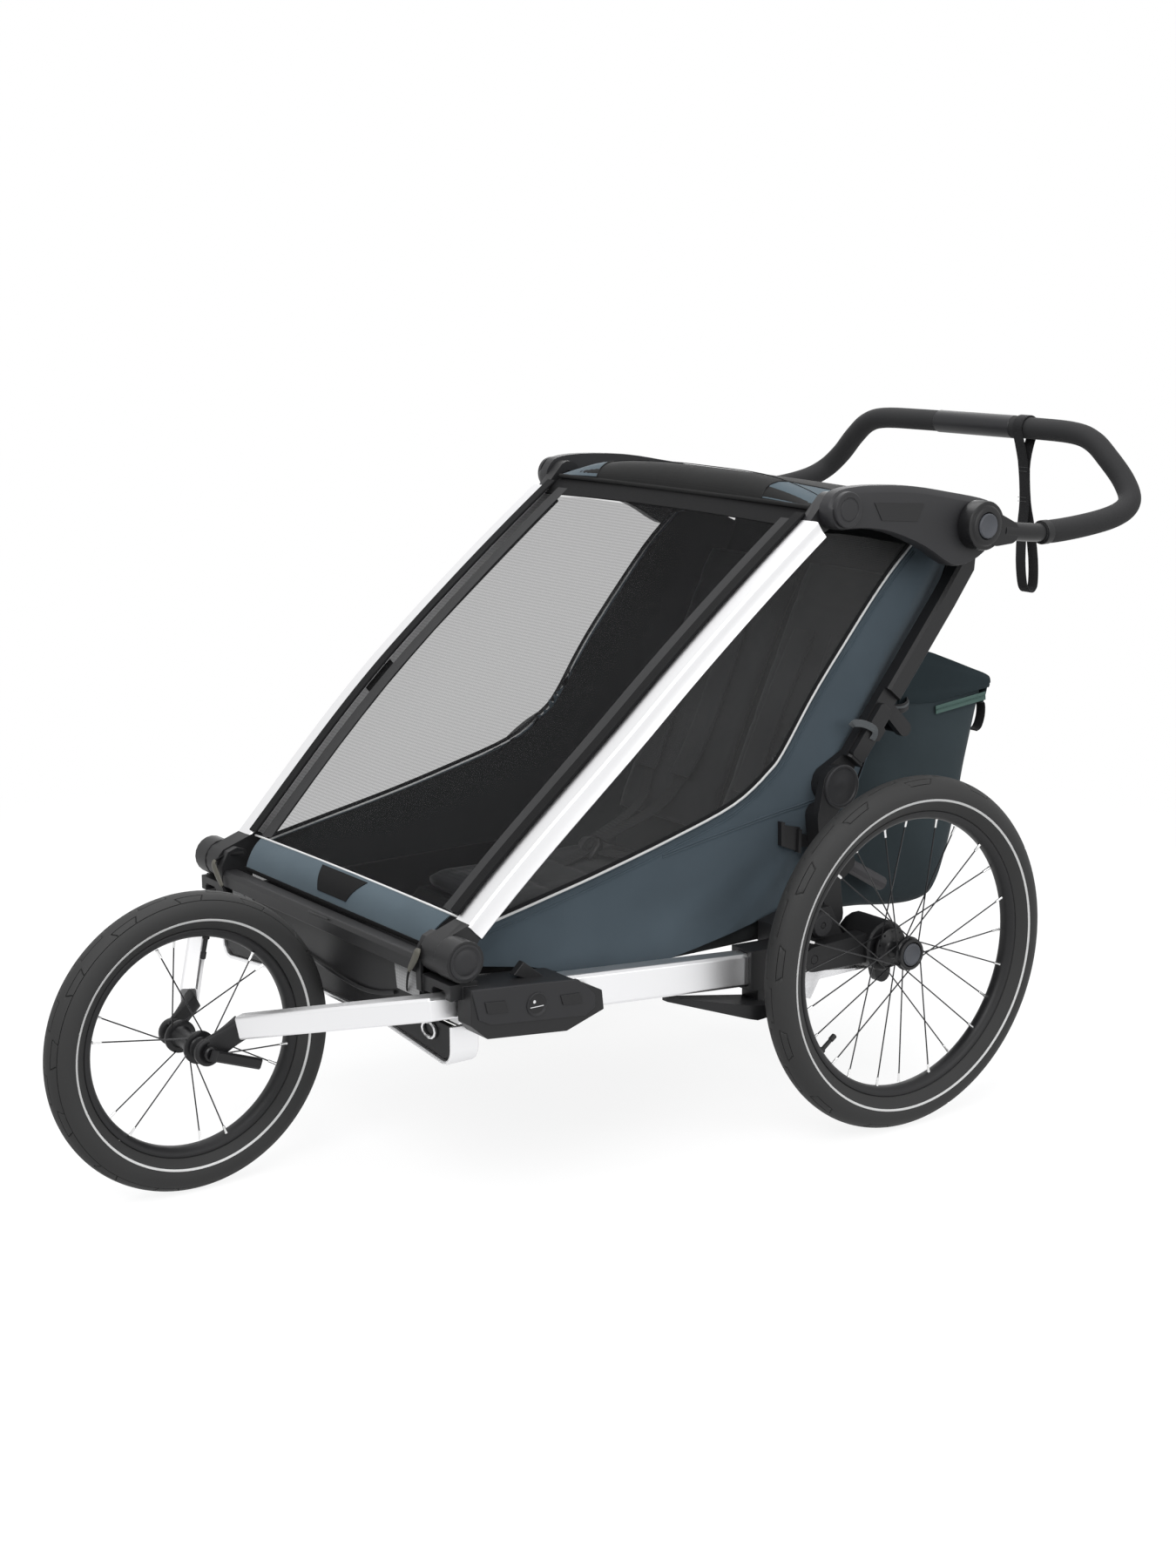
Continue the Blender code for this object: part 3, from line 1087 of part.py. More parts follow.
def handlebar():
    """Bent tube with a knuckle at each end, the foam grip on it and the hub buttons."""
    route = full_route()
    pivot = (0, *HANDLE_PIVOT)
    start = Vector((0, 0, 1))
    bar = round_sweep("handlebar", route, [HANDLE_TUBE_R] * len(route), BLACK, start, pivot)
    well = BUTTON_LENGTH + BUTTON_TRAVEL
    for side in (1, -1):
        def piece(name, shape, x0, x1):
            low, high = sorted((side * x0, side * x1))
            return prism(name, shape, low, high, BLACK)
        knuckle = capsule_outline(HANDLE_PIVOT, (HANDLE_PIVOT[0] + 0.034, HANDLE_PIVOT[1] - 0.011),
                                  KNUCKLE_R, 0.018, 9)
        join(bar, piece("knuckle", knuckle, KNUCKLE_IN_X, KNUCKLE_OUT_X))
        room = disc_outline(HANDLE_PIVOT, BUTTON_R + RUN_GAP, 16)
        combine(bar, piece("well", room, KNUCKLE_OUT_X - well, KNUCKLE_OUT_X + 0.01))
        bore = disc_outline(HANDLE_PIVOT, 0.010 + RUN_GAP, 12)
        combine(bar, piece("bore", bore, KNUCKLE_IN_X - 0.01, KNUCKLE_IN_X + 0.0066))
    face = KNUCKLE_OUT_X + 0.001
    button = disc("handle_button_left", HANDLE_PIVOT, BUTTON_R, face - BUTTON_LENGTH, face, GREY, 16,
                  pivot=(face, *HANDLE_PIVOT))
    mirrored(button, "handle_button_right")


def round_sweep(name, route, radii, finish, start_up, pivot, sides=8, bore=None):
    """A round bar along a route, solid or with a bore, framed without twist."""
    bm = bmesh.new()
    rings, inner = [], []
    above = start_up
    for i, point in enumerate(route):
        after = route[min(i + 1, len(route) - 1)]
        before = route[max(i - 1, 0)]
        along = (after - before).normalized()
        above = (above - along * above.dot(along)).normalized()
        side = along.cross(above)
        turns = [2 * math.pi * j / sides for j in range(sides)]
        aims = [side * math.cos(t) + above * math.sin(t) for t in turns]
        rings.append([bm.verts.new(point + aim * radii[i]) for aim in aims])
        if bore:
            inner.append([bm.verts.new(point + aim * bore) for aim in aims])
    for band in (rings, inner):
        for ring, following in zip(band, band[1:]):
            for j in range(sides):
                k = (j + 1) % sides
                bm.faces.new((ring[j], ring[k], following[k], following[j]))
    for end in (0, -1):
        if bore:
            for j in range(sides):
                k = (j + 1) % sides
                bm.faces.new((rings[end][j], rings[end][k], inner[end][k], inner[end][j]))
        else:
            bm.faces.new(rings[end])
    return make(name, bm, finish, pivot)


GRIP_FIRST = 2           # the grip starts this many stations from the knuckle


def handle_grip():
    """Foam sleeve on the bar."""
    route = full_route()[GRIP_FIRST:-GRIP_FIRST]
    bore = HANDLE_TUBE_R + SEAT_GAP + 0.0003
    pivot = (0, *HANDLE_PIVOT)
    start = Vector((0, 0, 1))
    round_sweep("handle_grip", route, [GRIP_R] * len(route), FOAM, start, pivot, bore=bore)


def wrist_strap():
    """Webbing loop that hangs from the grip."""
    top = HANDLE_TOP_Z
    y = HANDLE_REAR_Y
    reach = (GRIP_R + WRIST_STRAP_THICKNESS / 2 + SEAT_GAP) / math.cos(math.radians(13.75))
    low = top - WRIST_STRAP_DROP
    route = []
    for i in range(9):
        turn = math.radians(200 - 27.5 * i)
        route.append((y + reach * math.cos(turn), top + reach * math.sin(turn)))
    route += [(y + 0.007, top - 0.045), (y + 0.005, top - 0.100), (y + 0.012, low + 0.045),
              (y + 0.010, low + 0.008), (y, low), (y - 0.010, low + 0.008), (y - 0.012, low + 0.045),
              (y - 0.001, top - 0.100), (y + 0.001, top - 0.045)]
    half = WRIST_STRAP_THICKNESS / 2
    bm = bmesh.new()
    rings = []
    count = len(route)
    for i in range(count):
        before, after = Vector(route[i - 1]), Vector(route[(i + 1) % count])
        along = (after - before).normalized()
        out = Vector((along.y, -along.x))
        point = Vector(route[i])
        ring = []
        for x, n in ((-1, -1), (1, -1), (1, 1), (-1, 1)):
            spot = point + out * n * half
            ring.append(bm.verts.new((STRAP_X + x * WRIST_STRAP_WIDTH / 2, spot.x, spot.y)))
        rings.append(ring)
    for i in range(count):
        ring, following = rings[i], rings[(i + 1) % count]
        for j in range(4):
            k = (j + 1) % 4
            bm.faces.new((ring[j], ring[k], following[k], following[j]))
    make("wrist_strap", bm, MESH)


PIPING = [(-0.641, 0.3728), (-0.622, 0.3767), (-0.540, 0.3935), (-0.444, 0.4136), (-0.330, 0.4410),
          (-0.225, 0.4708), (-0.1635, 0.5065), (-0.136, 0.5323), (-0.092, 0.5954),
          (-0.050, 0.6484), (0.036, 0.7470), (0.093, 0.7993)]
PANEL_REAR = [(0.014, 0.400), (0.030, 0.470), (0.039, 0.5248), (0.050, 0.5867), (0.084, 0.6649),
              (0.132, 0.7286), (0.150, 0.760)]


def side_x(y, z):
    """Outer face of the side cloth: it runs in from the pillar to behind the upright."""
    share = (z - FRONT_PIVOT[1]) / (TOP_PIVOT[1] - FRONT_PIVOT[1])
    front_y = pillar_point(min(1.0, max(0.0, share))).x
    back_y = FOLD_PIVOT[0] + (z - FOLD_PIVOT[1]) * 0.672
    front_x = pillar_in_x(max(0.0, share)) + 0.008
    back_x = UPRIGHT_IN_X - 2 * CLOTH_GAP
    t = (y - front_y) / (back_y - front_y)
    if t <= 1:
        return front_x + (back_x - front_x) * smooth(max(0.0, t)) ** 0.8
    return back_x - 0.12 * (y - back_y)


def cloth_panel(name, outline, finish):
    """A cloth panel on the side surface, from its (y, z) outline."""
    bm = bmesh.new()
    count = len(outline)
    outer = [bm.verts.new((side_x(y, z), y, z)) for y, z in outline]
    face = bm.faces.new(outer)
    bmesh.ops.triangulate(bm, faces=[face])
    twins = {v: bm.verts.new((v.co.x - CLOTH, v.co.y, v.co.z)) for v in outer}
    for triangle in list(bm.faces):
        bm.faces.new([twins[v] for v in reversed(triangle.verts)])
    for i in range(count):
        a, b = outer[i], outer[(i + 1) % count]
        bm.faces.new((b, a, twins[a], twins[b]))
    return make(name, bm, finish)


def side_cloth():
    """Window in front and slate panel behind, parted by the piping."""
    under = []
    for i in range(9):
        s = 0.955 - (0.955 - 0.080) * i / 8
        spot = pillar_point(s) - pillar_normal(s) * (PILLAR_DEPTH / 2 + 2 * CLOTH_GAP)
        under.append((spot.x, spot.y))
    top = [(0.045, 0.808), (-0.010, 0.819), (-0.070, 0.829)]
    window = [(y, z + CLOTH_GAP) for y, z in PIPING] + top + under
    cloth = cloth_panel("side_window_left", window, WINDOW)
    mirrored(cloth, "side_window_right")

    rail_top = [(y, rail_z(y) + RAIL_HEIGHT / 2 + 0.012) for y in (-0.500, -0.400, -0.300, -0.245)]
    low = [(-0.653, 0.350), (-0.645, 0.327), (-0.560, 0.318)] + rail_top
    rear = [(-0.200, 0.303), (-0.100, 0.317), (-0.062, 0.340), (-0.020, 0.362)] + PANEL_REAR
    edge = [(0.150, 0.788), (0.110, 0.800)]
    panel = cloth_panel("side_panel_left", low + rear + edge + list(reversed(PIPING)), SLATE)
    mirrored(panel, "side_panel_right")


def rear_panel():
    """Cloth behind the seats, from the deck to the roof."""
    rows = []
    for i in range(8):
        z = REAR_LOW_Z + (REAR_TOP_Z - REAR_LOW_Z) * i / 7
        row = []
        for j in range(9):
            t = j / 4 - 1
            row.append(Vector((REAR_HALF * t, rear_y(z) + REAR_CROWN * (1 - t * t), z)))
        rows.append(row)
    slab("rear_panel", rows, CLOTH, SLATE)


def padded(name, spine, centre_x):
    """A pad with a crown, drawn-in sides and sewn channels, along a (y, z) spine."""
    half, thick = SEAT_WIDTH / 2, SEAT_THICKNESS
    line = smooth_path([(0, y, z) for y, z in spine], 2)
    bm = bmesh.new()
    rings = []
    count = len(line)
    for i, point in enumerate(line):
        along = (line[min(i + 1, count - 1)] - line[max(i - 1, 0)]).normalized()
        normal = Vector((0, -along.z, along.y))
        end = min(i, count - 1 - i)
        swell = 0.60 + 0.40 * smooth(end / 2)
        channel = 0.80 if i % 3 == 0 else 1.0
        ring = []
        for j in range(14):
            turn = 2 * math.pi * j / 14
            c, s = math.cos(turn), math.sin(turn)
            u = half * math.copysign(abs(c) ** 0.42, c) * (0.965 + 0.035 * swell)
            v = thick / 2 * math.copysign(abs(s) ** 0.75, s) * swell
            v *= channel if s > 0 else 1.0
            ring.append(bm.verts.new(Vector((centre_x + u, point.y, point.z)) + normal * v))
        rings.append(ring)
    for ring, following in zip(rings, rings[1:]):
        for j in range(14):
            k = (j + 1) % 14
            bm.faces.new((ring[j], ring[k], following[k], following[j]))
    bm.faces.new(rings[0])
    bm.faces.new(rings[-1])
    make(name, bm, SEAT)


def seats():
    """Two seats side by side, each a cushion on the deck and a back in front of the rear panel."""
    centre_x = (SEAT_WIDTH + SEAT_MIDDLE_GAP) / 2
    thick = SEAT_THICKNESS
    rest = DECK_Z + TUB_WALL + 0.98 * thick / 2 + 1.5 * SEAT_GAP
    back_y = rear_y(DECK_Z + 0.06) - 0.051
    cushion = [(-0.408, rest + 0.002), (-0.355, rest), (-0.300, rest), (-0.245, rest),
               (-0.190, rest + 0.001), (back_y - 0.030, rest + 0.004), (back_y, rest + 0.007)]
    heights = (0.352, 0.40, 0.45, 0.50, 0.55, 0.60, 0.65, 0.70, 0.745)
    half_back = thick / 2 / math.cos(math.atan(REAR_LEAN))
    back = [(rear_y(z) - half_back - 2 * SEAT_GAP, z) for z in heights]
    padded("seat_cushion_left", cushion, centre_x)
    padded("seat_cushion_right", cushion, -centre_x)
    padded("seat_back_left", back, centre_x)
    padded("seat_back_right", back, -centre_x)


def cargo_bag():
    """Lidded bag behind the rear panel."""
    def front_y(z):
        return rear_y(z) + REAR_CROWN + 1.2 * SEAT_GAP
    outline = [(front_y(BAG_TOP_Z), BAG_TOP_Z), (BAG_LID_REAR[0] - 0.030, BAG_LID_REAR[1] + 0.009),
               BAG_LID_REAR, (BAG_LID_REAR[0] - 0.008, BAG_LID_REAR[1] - 0.025), BAG_FOOT_REAR,
               (BAG_FOOT_REAR[0] - 0.020, BAG_BOTTOM_Z - 0.014), (BAG_FOOT_REAR[0] - 0.070, BAG_BOTTOM_Z - 0.010),
               (front_y(BAG_BOTTOM_Z) + 0.05, BAG_BOTTOM_Z + 0.002),
               (front_y(BAG_BOTTOM_Z + 0.03) + 0.004, BAG_BOTTOM_Z + 0.03)]
    bag = prism("cargo_bag", outline, -BAG_HALF, BAG_HALF, SLATE)
    bar_room = disc("bar_room", UPRIGHT_BAR, UPRIGHT_BAR_R + SEAT_GAP, -0.3, 0.3, SLATE, 12)
    combine(bag, bar_room)


rear_wheel()
for part in ("rear_tyre", "rear_rim", "rear_hub", "wheel_button"):
    mirrored(bpy.data.objects[part + "_left"], part + "_right")
front_wheel()
jogging_kit()
side_rails()
arm_sockets()
front_structure()
cabin_tub()
rear_frame()
dials()
swing_arms()
brake_lever()
pillars()
front_cover()
roof_frame()
roof_panel()
uprights()
fold_latches()
handlebar()
handle_grip()
wrist_strap()
side_cloth()
rear_panel()
seats()
cargo_bag()
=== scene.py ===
"""Looks of the two-seat child trailer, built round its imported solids.

Places are written from the point on the ground under the rear axle, as in the part's source:
+Z up, the trailer faces -Y, its left side is +X. place() carries them to the frame.
"""
import math

import bmesh
import bpy
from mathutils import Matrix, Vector, noise

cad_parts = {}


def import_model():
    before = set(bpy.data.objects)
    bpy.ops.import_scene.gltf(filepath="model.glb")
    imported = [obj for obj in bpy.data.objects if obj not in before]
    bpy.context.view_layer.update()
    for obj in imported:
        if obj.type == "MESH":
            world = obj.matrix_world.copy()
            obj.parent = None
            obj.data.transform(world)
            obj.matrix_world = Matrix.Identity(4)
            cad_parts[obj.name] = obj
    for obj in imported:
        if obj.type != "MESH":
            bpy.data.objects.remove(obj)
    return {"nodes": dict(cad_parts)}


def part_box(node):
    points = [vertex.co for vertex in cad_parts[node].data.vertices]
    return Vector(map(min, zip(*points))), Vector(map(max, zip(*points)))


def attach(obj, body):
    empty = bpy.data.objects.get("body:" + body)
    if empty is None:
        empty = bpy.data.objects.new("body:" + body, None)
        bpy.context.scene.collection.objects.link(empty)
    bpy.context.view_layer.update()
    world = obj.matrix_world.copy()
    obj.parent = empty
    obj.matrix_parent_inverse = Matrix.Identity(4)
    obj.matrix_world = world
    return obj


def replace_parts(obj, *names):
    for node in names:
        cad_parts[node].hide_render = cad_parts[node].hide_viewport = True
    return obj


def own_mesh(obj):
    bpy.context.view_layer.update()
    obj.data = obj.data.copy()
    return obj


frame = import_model()
bpy.context.view_layer.update()

NODES = frame["nodes"]
SIDES = (("left", 1), ("right", -1))

# Places that the part's source also holds, in metres
rear_low, rear_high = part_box("rear_tyre_left")
AXLE_Y = (rear_low.y + rear_high.y) / 2
REAR_R = rear_high.z / 2
front_low, front_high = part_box("front_tyre")
FRONT_R = front_high.z / 2
FRONT_AXLE = ((front_low.y + front_high.y) / 2 - AXLE_Y, FRONT_R)
TRACK_X = (rear_low.x + rear_high.x) / 2
TYRE_WIDTH = 0.047
TYRE_HEIGHT = 0.047
FRONT_PIVOT = (-0.700, 0.351)
TOP_PIVOT = (-0.094, 0.866)
FOLD_PIVOT = (-0.055, 0.480)
LINK_PIVOT = (0.175, 0.822)
HANDLE_PIVOT = (0.144, 0.831)
PILLAR_FOOT_X, PILLAR_TOP_X = 0.268, 0.2922
PILLAR_DEPTH, PILLAR_BOW, PILLAR_FOOT_DROP = 0.026, 0.017, 0.008
PILLAR_SILVER_END = 0.042
UPRIGHT_IN_X, UPRIGHT_OUT_X = 0.2625, 0.2892
LINK_IN_X = 0.3125
KNUCKLE_IN_X, KNUCKLE_OUT_X = 0.3373, 0.3633
REAR_LINE, REAR_LEAN = (0.051, 0.522), 0.4576


def place(x, y, z):
    """A point of this script's places in the frame."""
    return Vector((x, y + AXLE_Y, z))


def smooth(t):
    """Ease from 0 to 1."""
    t = min(1.0, max(0.0, t))
    return t * t * (3 - 2 * t)


def mix(a, b, t):
    """A value or point between a, t 0, and b, t 1."""
    return a + (b - a) * t


# Materials

def add(tree, kind, inputs=None, **settings):
    """A new node: each input takes a value, or the output that feeds it."""
    made = tree.nodes.new(kind)
    for name, value in settings.items():
        setattr(made, name, value)
    for key, value in (inputs or {}).items():
        if isinstance(value, bpy.types.NodeSocket):
            tree.links.new(value, made.inputs[key])
        else:
            made.inputs[key].default_value = value
    return made


class Shader:
    """A Principled material with short calls for its nodes."""

    def __init__(self, name, colour, roughness, metallic=0.0, **sockets):
        self.material = bpy.data.materials.new(name)
        self.material.use_nodes = True
        self.tree = self.material.node_tree
        self.main = self.tree.nodes["Principled BSDF"]
        self.colour, self.roughness = colour, roughness
        sockets.update(Base_Color=(*colour, 1.0), Roughness=roughness, Metallic=metallic)
        for socket, value in sockets.items():
            self.main.inputs[socket.replace("_", " ")].default_value = value
        self.place = add(self.tree, "ShaderNodeTexCoord").outputs["Object"]

    def feed(self, out, socket):
        """Links a node to one of the material's own inputs."""
        self.tree.links.new(out, self.main.inputs[socket])

    def noise(self, scale, detail=2.0, stretch=(1, 1, 1)):
        """Noise over object coordinates, which stretch scales by three factors."""
        spot = add(self.tree, "ShaderNodeMapping", {"Vector": self.place, "Scale": stretch})
        inputs = {"Vector": spot.outputs["Vector"], "Scale": scale, "Detail": detail}
        return add(self.tree, "ShaderNodeTexNoise", inputs).outputs["Fac"]

    def wave(self, axis, pitch):
        """Ridges across an axis, one every pitch metres."""
        inputs = {"Vector": self.place, "Scale": 1 / (3.1831 * pitch)}
        return add(self.tree, "ShaderNodeTexWave", inputs, bands_direction=axis).outputs["Fac"]

    def maths(self, operation, a, b):
        """One step of arithmetic on nodes or numbers."""
        return add(self.tree, "ShaderNodeMath", {0: a, 1: b}, operation=operation).outputs["Value"]

    def threads(self, axes, pitch):
        """Threads across two axes."""
        return self.maths("MULTIPLY", self.wave(axes[0], pitch), self.wave(axes[1], pitch))

    def spread(self, fac, low, high):
        """Maps 0..1 to low..high."""
        inputs = {"Value": fac, "To Min": low, "To Max": high}
        return add(self.tree, "ShaderNodeMapRange", inputs).outputs["Result"]

    def vary(self, fac, darker, lighter):
        """Varies the base colour between two shares of it."""
        ends = [(*[min(1, c * share) for c in self.colour], 1) for share in (darker, lighter)]
        mixed = add(self.tree, "ShaderNodeMix", {0: fac, 6: ends[0], 7: ends[1]}, data_type="RGBA")
        self.feed(mixed.outputs[2], "Base Color")

    def roughen(self, fac, spread):
        """Varies the roughness to both sides of its value."""
        self.feed(self.spread(fac, self.roughness - spread, self.roughness + spread), "Roughness")

    def bump(self, height, distance, strength=1.0):
        """Adds a bump on top of those that are there."""
        inputs = {"Distance": distance, "Strength": strength, "Height": height}
        if self.main.inputs["Normal"].links:
            inputs["Normal"] = self.main.inputs["Normal"].links[0].from_socket
        self.feed(add(self.tree, "ShaderNodeBump", inputs).outputs["Normal"], "Normal")


def moulded(name, colour, roughness, grain=0.00006):
    """Moulded plastic with a fine grain and a slightly uneven gloss."""
    made = Shader(name, colour, roughness, Specular_IOR_Level=0.32)
    made.bump(made.noise(1400, 3), grain, 0.5)
    cloud = made.noise(18, 4)
    made.roughen(cloud, 0.06)
    made.vary(cloud, 0.85, 1.2)
    return made.material


def cloth(name, colour, axes, pitch=0.0011, roughness=0.86, sheen=0.25, depth=0.00012):
    """Woven fabric, with threads across two axes and slow changes of shade."""
    made = Shader(name, colour, roughness, Sheen_Weight=sheen, Sheen_Roughness=0.4, Specular_IOR_Level=0.2)
    weave = made.threads(axes, pitch)
    made.bump(weave, depth, 0.8)
    made.bump(made.noise(55, 3), 0.0012, 0.25)
    made.vary(made.maths("ADD", made.maths("MULTIPLY", weave, 0.25), made.noise(9, 5)), 0.78, 1.16)
    return made.material


def net(name, colour, axes, pitch, low, high, roughness=0.75):
    """Fine mesh or film: threads are denser than the holes between them."""
    made = Shader(name, colour, roughness, Specular_IOR_Level=0.2)
    threads = made.threads(axes, pitch)
    made.feed(made.spread(threads, low, high), "Alpha")
    made.bump(threads, 0.0001, 0.4)
    made.vary(made.noise(12, 3), 0.8, 1.15)
    return made.material


def aluminium(name, colour, roughness=0.30):
    """Satin anodised aluminium with a fine drawn grain."""
    made = Shader(name, colour, roughness, metallic=1.0)
    grain = made.noise(600, 2, (1.0, 0.04, 1.0))
    made.roughen(grain, 0.05)
    made.bump(grain, 0.00002, 0.4)
    made.vary(made.noise(6, 2), 0.96, 1.03)
    return made.material


def rubber(name, colour, roughness=0.72):
    """Matt rubber or foam with a fine grain and cloudy wear."""
    made = Shader(name, colour, roughness)
    made.bump(made.noise(900, 2), 0.00008, 0.6)
    cloud = made.noise(14, 4)
    made.vary(cloud, 0.82, 1.22)
    made.roughen(cloud, 0.08)
    return made.material


def plain(name, colour, roughness, metallic=0.0):
    """Small parts: paint, wire and reflective tape, with a faint unevenness."""
    made = Shader(name, colour, roughness, metallic)
    made.vary(made.noise(60, 2), 0.92, 1.06)
    made.bump(made.noise(500, 2), 0.00003, 0.4)
    return made.material


SILVER = aluminium("satin_aluminium", (0.82, 0.82, 0.83), 0.38)
STEEL = aluminium("bright_steel", (0.72, 0.72, 0.73), 0.22)
BLACK = moulded("black_plastic", (0.0145, 0.0145, 0.0155), 0.46)
DARK = moulded("dark_plastic", (0.024, 0.024, 0.026), 0.50)
GLOSS = moulded("black_anodised", (0.011, 0.011, 0.012), 0.32, 0.00002)
GREY = moulded("grey_plastic", (0.085, 0.090, 0.102), 0.48)
TAUPE = moulded("taupe_plastic", (0.070, 0.068, 0.072), 0.50)
OLIVE = moulded("olive_plastic", (0.12, 0.115, 0.095), 0.5)
TYRE = rubber("tyre_rubber", (0.024, 0.024, 0.024))
FOAM = rubber("grip_foam", (0.015, 0.015, 0.016), 0.86)
WRAP = moulded("grip_wrap", (0.018, 0.018, 0.020), 0.40)
SPOKE = plain("black_spoke", (0.03, 0.03, 0.032), 0.35, 0.6)
NIPPLE = plain("nipple_brass", (0.80, 0.80, 0.80), 0.25, 1.0)
STRIPE = plain("reflective_stripe", (0.86, 0.86, 0.85), 0.55)
# One slate fabric in three copies, each with its own weave direction. Against the side copy, the front
# copy's colour is painted lighter as painted light, and the top copy's is painted darker as painted shade.
SLATE_SIDE = cloth("slate_fabric_side", (0.084, 0.112, 0.134), "YZ")
SLATE_FRONT_PAINTED_LIGHT = cloth("slate_fabric_front_painted_light", (0.092, 0.125, 0.148), "XZ")
SLATE_TOP_PAINTED_SHADE = cloth("slate_fabric_top_painted_shade", (0.080, 0.110, 0.130), "XY")
# One black fabric in three copies. Against the side copy, the front copy's colour is painted darker as
# painted shade against the key lamp, and the top copy's is painted lighter as painted light.
BLACK_SIDE = cloth("black_fabric_side", (0.010, 0.010, 0.011), "YZ", sheen=0.04)
BLACK_TOP_PAINTED_LIGHT = cloth("black_fabric_top_painted_light", (0.018, 0.018, 0.018), "XY", sheen=0.06)
BLACK_FRONT_PAINTED_SHADE = cloth("black_fabric_front_painted_shade", (0.005, 0.005, 0.0055), "XZ", sheen=0.03)
BORDER = cloth("cover_border", (0.044, 0.044, 0.045), "XZ", sheen=0.1)
LINING = cloth("dark_lining", (0.020, 0.022, 0.023), "YZ", sheen=0.1)
SLATE_BAG = cloth("slate_fabric_bag", (0.046, 0.063, 0.071), "YZ")
LID = cloth("slate_fabric_lid", (0.026, 0.039, 0.045), "XY", sheen=0.15)
SEAT = cloth("seat_fabric", (0.022, 0.023, 0.025), "XZ", 0.0016)
WEB = cloth("webbing", (0.016, 0.016, 0.017), "XZ", 0.0022, depth=0.0003)
WEB_GREY = cloth("grey_webbing", (0.115, 0.125, 0.130), "YZ", 0.0022, depth=0.0003)
ZIP = plain("zip_tape", (0.085, 0.155, 0.135), 0.7)
MESH = net("cover_mesh", (0.016, 0.016, 0.017), "XZ", 0.0034, 0.26, 0.50)
FILM = net("window_film", (0.135, 0.135, 0.135), "YZ", 0.0016, 0.36, 0.42, 0.36)
VENT = net("vent_mesh", (0.62, 0.62, 0.62), "XZ", 0.0040, 0.75, 1.0)


# Making pieces

def build(name, bm, finish, body="chassis", slot="black_plastic", angle=38, recalc=True):
    """Makes an object of a bmesh in this script's places, and rides it on its body."""
    bmesh.ops.remove_doubles(bm, verts=bm.verts, dist=0.000002)
    if recalc:
        bmesh.ops.recalc_face_normals(bm, faces=bm.faces)
    bmesh.ops.translate(bm, verts=bm.verts, vec=(0, AXLE_Y, 0))
    mesh = bpy.data.meshes.new(name)
    bm.to_mesh(mesh)
    bm.free()
    mesh.shade_smooth()
    mesh.set_sharp_from_angle(angle=math.radians(angle))
    made = bpy.data.objects.new(name, mesh)
    mesh.materials.append(finish)
    bpy.context.collection.objects.link(made)
    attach(made, body)
    return made


def both_sides(make_side):
    """Calls a function for each side, with a call that builds a left-hand bmesh on that side."""
    for side, factor in SIDES:
        def put(name, bm, *finish, **options):
            return build(f"{name}_{side}", mirror(bm, factor), *finish, **options)
        make_side(side, put)


def mirror(bm, factor):
    """Turns a left-hand bmesh into its right-hand twin when factor is -1."""
    if factor < 0:
        for vertex in bm.verts:
            vertex.co.x = -vertex.co.x
        bmesh.ops.reverse_faces(bm, faces=bm.faces)
    return bm


def subdivide(piece):
    """Smooths a soft piece by one level."""
    modifier = piece.modifiers.new("subdivision", "SUBSURF")
    modifier.levels = modifier.render_levels = 1


def rounded(piece, width, segments=2, angle=35):
    """Softens edges that turn by more than this angle."""
    modifier = piece.modifiers.new("edges", "BEVEL")
    modifier.width = width
    modifier.segments = segments
    modifier.limit_method = "ANGLE"
    modifier.angle_limit = math.radians(angle)
    modifier.harden_normals = True


def merge(bm, part):
    """Adds another bmesh's faces to bm, and frees it."""
    mesh = bpy.data.meshes.new("part")
    part.to_mesh(mesh)
    part.free()
    bm.from_mesh(mesh)
    bpy.data.meshes.remove(mesh)


def between(low, high, count):
    """Even places from low to high, in count steps."""
    return [low + (high - low) * i / count for i in range(count + 1)]


def steps(count):
    """Even shares from 0 to 1."""
    return between(0, 1, count)


def across(count):
    """Even places from -1 to 1."""
    return between(-1, 1, count)


def blunt(value, power):
    """A cosine or sine, raised towards a squarer round."""
    return math.copysign(abs(value) ** power, value)


def join(bm, rows, closed=False, loop=False):
    """Quads between rows of vertices: closed joins each row's ends, loop the last row with the first."""
    count = len(rows[0])
    for row, following in zip(rows, rows[1:] + (rows[:1] if loop else [])):
        for j in range(count if closed else count - 1):
            k = (j + 1) % count
            bm.faces.new((row[j], row[k], following[k], following[j]))


def grid(rows, closed=False, bm=None):
    """A quad grid over rows of points; closed joins each row's ends."""
    bm = bm or bmesh.new()
    made = [[bm.verts.new(p) for p in row] for row in rows]
    join(bm, made, closed)
    return bm, made


def capped(rows, bm=None):
    """A closed tube over rows of points, with both its ends filled."""
    bm, made = grid(rows, closed=True, bm=bm)
    bm.faces.new(made[0])
    bm.faces.new(list(reversed(made[-1])))
    return bm


def smooth_path(points, count):
    """Catmull-Rom curve through the points, in count steps from each to the next."""
    points = [Vector(p) for p in points]
    path = []
    for i in range(len(points) - 1):
        before = points[max(i - 1, 0)]
        start, end = points[i], points[i + 1]
        after = points[min(i + 2, len(points) - 1)]
        for step in range(count):
            t = step / count
            path.append(0.5 * (2 * start + (end - before) * t
                               + (2 * before - 5 * start + 4 * end - after) * t ** 2
                               + (3 * start - before - 3 * end + after) * t ** 3))
    path.append(points[-1])
    return path


def smooth_line(points, count):
    """smooth_path for (y, z) points."""
    return [(p.y, p.z) for p in smooth_path([(0, y, z) for y, z in points], count)]


def headings(path, loop=False):
    """The unit direction of a path at each of its points."""
    last = len(path) - 1
    if loop:
        return [(path[(i + 1) % len(path)] - path[i - 1]).normalized() for i in range(len(path))]
    return [(path[min(i + 1, last)] - path[max(i - 1, 0)]).normalized() for i in range(len(path))]


